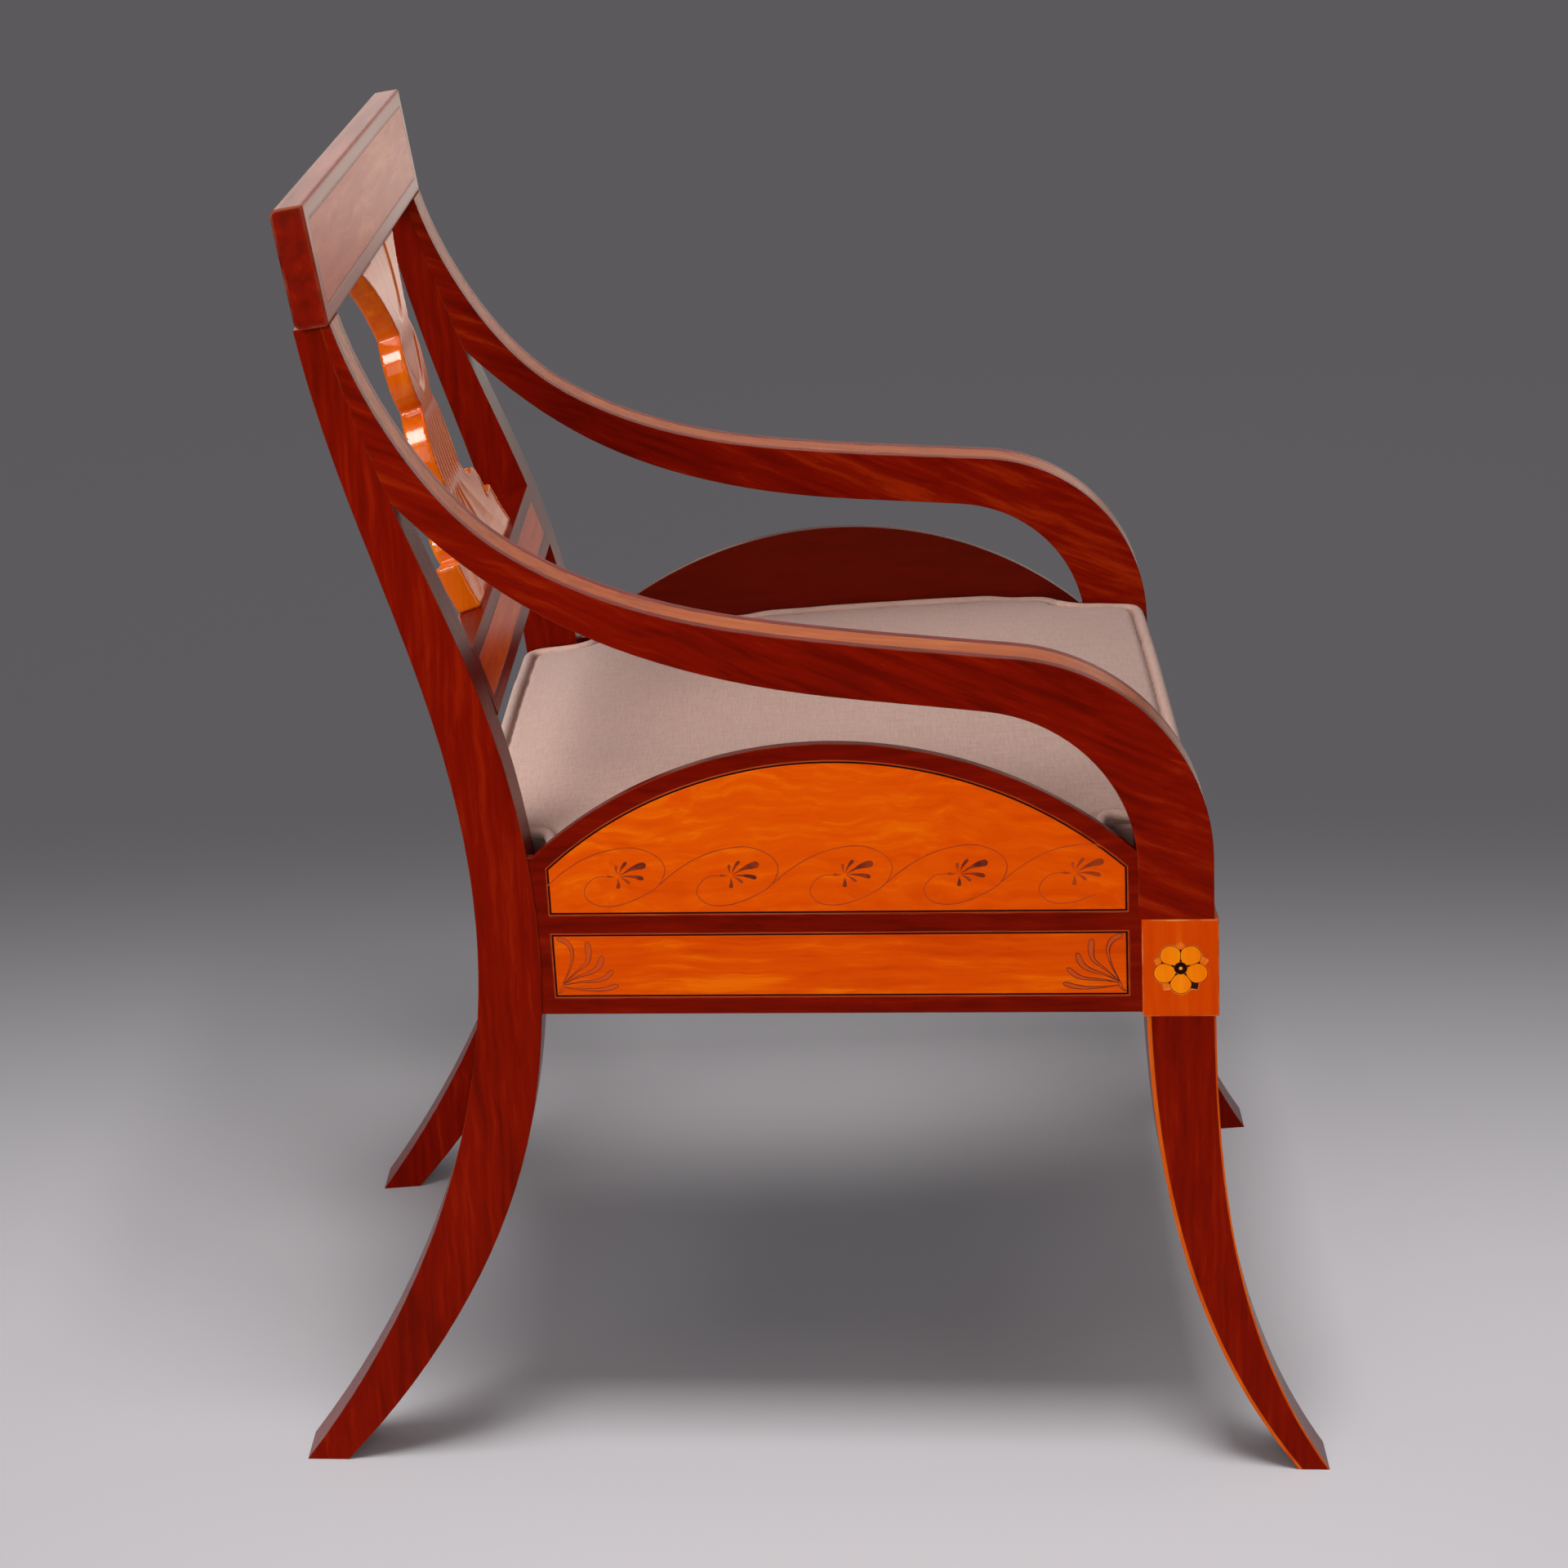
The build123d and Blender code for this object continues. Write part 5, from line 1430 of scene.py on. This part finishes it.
def draw_sprays(side):
    plane = PanelPlane(side + "_lower_panel")
    ink = Ink(plane.point)
    for turned in (False, True):
        def seat(points):
            return [(plane.length / MM - back, up) if turned else (back, up) for back, up in points]
        fill, outline, accent = SPRAY_INK[turned]
        for points, width in SPRAY_LEAVES:
            ink.leaf(seat(points), width, fill, outline, accent)
        ink.leaf(seat(SPRAY_FOOT), SPRAY_FOOT_WIDTH, fill, outline)
    spray = linked(side + "_leaf_sprays", ink.mesh(side + "_leaf_sprays"))
    spray.data.materials.append(pen_ink)
    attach(spray, "frame")
    return plane, spray


for side in ("right", "left"):
    plane, spray = draw_sprays(side)
    print(side, "lower panel mm:", round(plane.length / MM), "x", round(plane.height / MM))

# %% [markdown]
# ## The inlaid flower
# Five petals of pale wood meet along fine dark lines round a black eye. Between their tips
# sit small sepals, burnt dark where they start; one of them is dark all over. The line round
# each petal follows its own edge, so it comes from the edge reader and the line tree. The
# joints between the petals are pen strokes, widest at both ends.

# %% Flower finishes
PIP_REACH = (0.9 * MM, 1.2 * MM)
SEPAL_BURNT = (11.0 * MM, 13.4 * MM)
DARK_SEPAL = (-10.8 * MM, -12.5 * MM)
DARK_SEPAL_REACH = (4.5 * MM, 6.5 * MM)
BURNT = rgb(48, 8, 4)
SEPAL = rgb(242, 112, 14)
PIP = rgb(244, 160, 80)
PIP_RING = rgb(36, 6, 4)


def flower_finish(name, middle, masks, inner, outer):
    """Two colours, the inner one near given points of the flower and the outer one elsewhere."""
    material, tree, shader = new_material(name, IOR=POLISH_IOR, Roughness=0.3)
    link = tree.links.new
    where = add(tree, "ShaderNodeTexCoord")
    clear = 1.0
    for (back, up), (near, far) in masks:
        away = add(tree, "ShaderNodeVectorMath", operation="SUBTRACT")
        away.inputs[1].default_value = (0.0, middle.y + back, middle.z + up)
        link(where.outputs["Object"], away.inputs[0])
        flat = add(tree, "ShaderNodeVectorMath", operation="MULTIPLY")
        flat.inputs[1].default_value = (0.0, 1.0, 1.0)
        link(away.outputs[0], flat.inputs[0])
        reach = add(tree, "ShaderNodeVectorMath", operation="LENGTH")
        link(flat.outputs[0], reach.inputs[0])
        clear = math_node(tree, "MULTIPLY", remap(tree, reach.outputs["Value"], near, far), clear)
    grain = add(tree, "ShaderNodeTexNoise", {"Scale": 400.0, "Detail": 3.0})
    link(where.outputs["Object"], grain.inputs["Vector"])
    mottled = math_node(tree, "MULTIPLY", clear, remap(tree, grain.outputs["Fac"], 0.2, 0.6, 0.8, 1.0))
    link(blend_colours(tree, mottled, inner, outer), shader.inputs["Base Color"])
    return material


low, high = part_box("right_flower_eye")
flower_middle = (low + high) / 2.0
sepal_masks = [((0.0, 0.0), SEPAL_BURNT), (DARK_SEPAL, DARK_SEPAL_REACH)]
sepal_wood = flower_finish("sepal_wood", flower_middle, sepal_masks, BURNT, SEPAL)
pip_masks = [((0.0, 0.0), PIP_REACH)]
pip_wood = flower_finish("pip_wood", flower_middle, pip_masks, PIP, PIP_RING)
print("flower middle:", [round(x, 3) for x in flower_middle])

# %% Petal lines and joints
PETAL_LINE = 0.3 * MM
EYE_REACH = 4.6 * MM
PETAL_JOINTS = (90, 18, -54, -126, 162)
JOINT_REACH = (4.2, 7.0, 10.0, 12.6)
JOINT_WIDTHS = (1.1, 0.35, 0.4, 1.3)
JOINT_PROUD = 0.04 * MM


def without_middle(mesh, middle, reach):
    """Edges of a mesh that keep clear of the flower's eye."""
    points = coordinates(mesh)
    away = np.hypot(points[:, 1] - middle.y, points[:, 2] - middle.z)
    lines = [tuple(e.vertices) for e in mesh.edges if min(away[v] for v in e.vertices) > reach]
    kept = bpy.data.meshes.new("petal_edges")
    kept.from_pydata([tuple(p) for p in points], lines, [])
    return kept


def draw_petal_joints(side):
    """Dark lines between the petals, from the eye out to the notch, widest at both ends."""
    plane = PanelPlane(side + "_lower_panel")
    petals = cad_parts[side + "_flower_petals"].data
    face = max(vertex.co.dot(plane.out) for vertex in petals.vertices)
    low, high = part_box(side + "_flower_eye")
    middle = (low + high) / 2.0
    middle += plane.out * (face - middle.dot(plane.out))

    def on_flower(back, up, out):
        return middle + plane.vector(back, up, out)

    ink = Ink(on_flower)
    for angle in PETAL_JOINTS:
        points = [heading(angle) * reach for reach in JOINT_REACH]
        ink.stroke(points, JOINT_WIDTHS, JOINT_PROUD, 1.0)
    piece = linked(side + "_petal_joints", ink.mesh(side + "_petal_joints"))
    piece.data.materials.append(dark_line)
    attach(piece, "frame")
    return piece


for side in ("right", "left"):
    dress(side + "_flower_sepals", sepal_wood)
    dress(side + "_flower_pip", pip_wood)
    edges = arris_edges(side + "_flower_petals", PanelPlane(side + "_lower_panel").out)
    edges = without_middle(edges, flower_middle, EYE_REACH)
    lines = grow(side + "_petal_lines", edges, ROUND_LINE,
                 {"Width": PETAL_LINE, "Sides": 6, "Material": dark_line})
    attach(lines, "frame")
    joints = draw_petal_joints(side)
    print(side, "petal lines:", len(lines.data.polygons), "joints:", len(joints.data.polygons), "faces")

# %% [markdown]
# ## The studio
# The floor is one pale sheet. Beyond an oval pool round the chair it turns into an even grey
# that gives off its own light, so that it meets the background without a line. Under the
# chair it gives off a little light too: cool in the middle of the shadow, and grey on the far
# side, where light comes in below the seat.
#
# Light linking keeps floor, wood and cushion apart. Two lights fall on the floor alone and
# throw the chair's shadow. An overhead light and a key light fall on the wood. The cushion
# has two of its own, because pale linen needs less light than dark wood. Two fills stand at
# the near and the far side. The last five are cards that only reflections show: they give
# tops and fronts the pale sheen that polish has when it is seen along its surface.

# %% Floor
POOL_CENTRE = (-0.4, 0.0, 0.0)
POOL_TURN = math.radians(5.0)
POOL_SHAPE = (1.0, 0.3, 1.0)
POOL_EDGE = (0.35, 1.45)
FLOOR_SIDE = 24.0
FLOOR_DROP = 0.2 * MM
BLACK = (0.0, 0.0, 0.0, 1.0)
FLOOR_PALE = rgb(200, 197, 200)
FLOOR_FAR = rgb(20, 20, 20)
BACKGROUND = rgb(90, 88, 91)
GLOW_CENTRE = (0.36, 0.0, 0.0)
GLOW_SHAPE = (1.0, 0.6, 1.0)
GLOW_EDGE = (0.26, 0.02)
GLOW = rgb(140, 138, 140)
CORE_CENTRE = (0.04, 0.0, 0.0)
CORE_SHAPE = (1.0, 0.85, 1.0)
CORE_EDGE = (0.34, 0.06)
CORE = rgb(24, 36, 44)


def pool_reach(tree, centre, turn, shape):
    """Distance from the middle of an oval pool on the floor."""
    where = add(tree, "ShaderNodeTexCoord")
    shift = add(tree, "ShaderNodeVectorMath", operation="SUBTRACT")
    shift.inputs[1].default_value = centre
    tree.links.new(where.outputs["Object"], shift.inputs[0])
    turned = add(tree, "ShaderNodeVectorRotate", {"Angle": turn}, rotation_type="Z_AXIS")
    tree.links.new(shift.outputs[0], turned.inputs["Vector"])
    oval = add(tree, "ShaderNodeVectorMath", operation="MULTIPLY")
    oval.inputs[1].default_value = shape
    tree.links.new(turned.outputs[0], oval.inputs[0])
    reach = add(tree, "ShaderNodeVectorMath", operation="LENGTH")
    tree.links.new(oval.outputs[0], reach.inputs[0])
    return reach.outputs["Value"]


def floor_finish():
    material, tree, shader = new_material(
        "studio_floor", Roughness=0.9, Specular_IOR_Level=0.05, Emission_Strength=1.0
    )
    link = tree.links.new
    fade = remap(tree, pool_reach(tree, POOL_CENTRE, POOL_TURN, POOL_SHAPE), *POOL_EDGE)
    glow = remap(tree, pool_reach(tree, GLOW_CENTRE, 0.0, GLOW_SHAPE), *GLOW_EDGE)
    link(blend_colours(tree, fade, FLOOR_PALE, FLOOR_FAR), shader.inputs["Base Color"])
    core = remap(tree, pool_reach(tree, CORE_CENTRE, 0.0, CORE_SHAPE), *CORE_EDGE)
    under = blend_colours(tree, core, BLACK, CORE)
    under = blend_colours(tree, glow, under, GLOW)
    link(blend_colours(tree, fade, under, BACKGROUND), shader.inputs["Emission Color"])
    return material


def add_floor():
    half = FLOOR_SIDE / 2.0
    level = CAD_LOW.z - FLOOR_DROP
    mesh = bpy.data.meshes.new("floor")
    corners = [(-half, -half, level), (half, -half, level), (half, half, level), (-half, half, level)]
    mesh.from_pydata(corners, [], [(0, 1, 2, 3)])
    mesh.materials.append(floor_finish())
    floor = linked("floor", mesh)
    floor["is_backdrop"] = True
    return floor


floor = add_floor()
print("floor side m:", FLOOR_SIDE)

# %% Lights
SEAT_MIDDLE = Vector((0.0, 0.0, 0.45))
AREA_FACTOR = 4.0
WARM = (1.0, 0.93, 0.82)


def soft_light(name, at, aim, size, radiance, sheen_only=False, colour=(1.0, 1.0, 1.0), matt_only=False):
    """Rectangular soft light, as bright as asked for, that the camera itself doesn't see."""
    data = bpy.data.lights.new(name, "AREA")
    data.shape = "RECTANGLE"
    data.size, data.size_y = size
    data.color = colour
    data.energy = radiance * AREA_FACTOR * size[0] * size[1]
    light = linked(name, data)
    light.location = at
    light.rotation_mode = "QUATERNION"
    light.rotation_quaternion = (Vector(aim) - Vector(at)).to_track_quat("-Z", "Y")
    light.visible_camera = False
    light.visible_diffuse = not sheen_only
    light.visible_glossy = not matt_only
    print(name, "watts:", round(data.energy, 1))
    return light


def falls_on(light, pieces, state):
    """Let a light fall on a few pieces alone, or on all but those pieces."""
    group = bpy.data.collections.new(light.name + "_falls_on")
    for piece in pieces:
        group.objects.link(piece)
    light.light_linking.receiver_collection = group
    for row in group.collection_objects:
        row.light_linking.link_state = state


for light in (
    soft_light("floor_light", (-0.6, -0.03, 2.5), (0.0, 0.0, 0.0), (2.6, 1.9), 0.85),
    soft_light("floor_spot", (-0.7, -0.03, 2.5), (0.0, 0.0, 0.0), (0.6, 0.6), 30.0),
):
    falls_on(light, [floor], "INCLUDE")
for light in (
    soft_light("overhead", (-0.2, 0.2, 2.5), (0.0, 0.0, 0.0), (1.6, 1.6), 2.7),
    soft_light("key", (-2.3, 1.35, 2.2), SEAT_MIDDLE, (1.2, 0.9), 10.0),
):
    falls_on(light, [floor, cushion, piping], "EXCLUDE")
for light in (
    soft_light("cushion_top", (-0.2, 0.2, 2.5), (0.0, 0.0, 0.0), (1.6, 1.6), 1.5),
    soft_light("cushion_side", (-0.72, 0.75, 1.15), (-0.1, 0.1, 0.45), (0.9, 0.9), 5.8),
):
    falls_on(light, [cushion, piping], "INCLUDE")
soft_light("near_fill", (-3.2, 0.1, 1.0), SEAT_MIDDLE, (2.6, 1.2), 2.2)
far_fill = soft_light("far_fill", (3.2, -0.6, 1.5), SEAT_MIDDLE, (2.6, 1.2), 1.6, matt_only=True)
falls_on(far_fill, [floor, cushion, piping], "EXCLUDE")
SHEEN = {"sheen_only": True, "colour": WARM}
soft_light("key_sheen", (-2.3, 1.35, 2.2), (0.0, 0.25, 0.6), (1.0, 0.8), 18.0, sheen_only=True)
soft_light("far_crest", (3.0, 1.05, 1.2), (0.0, 0.25, 0.85), (1.2, 0.8), 0.95, **SHEEN)
soft_light("far_rear", (3.0, -0.6, 0.68), (0.0, 0.0, 0.68), (1.3, 0.65), 0.75, **SHEEN)
soft_light("far_flat", (3.0, -0.5, 1.65), (0.0, 0.0, 0.6), (2.0, 1.2), 0.42, **SHEEN)
soft_light("floor_card", (4.6, -0.4, 0.015), (4.6, -0.4, 1.0), (7.6, 4.0), 0.34, **SHEEN)

world = bpy.data.worlds.new("studio")
world.use_nodes = True
world.node_tree.nodes["Background"].inputs["Color"].default_value = BACKGROUND
world.node_tree.nodes["Background"].inputs["Strength"].default_value = 1.0
scene.world = world

# %% Sizes, and the end
low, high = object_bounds()
print("visual box:", [round(x, 3) for x in high - low])
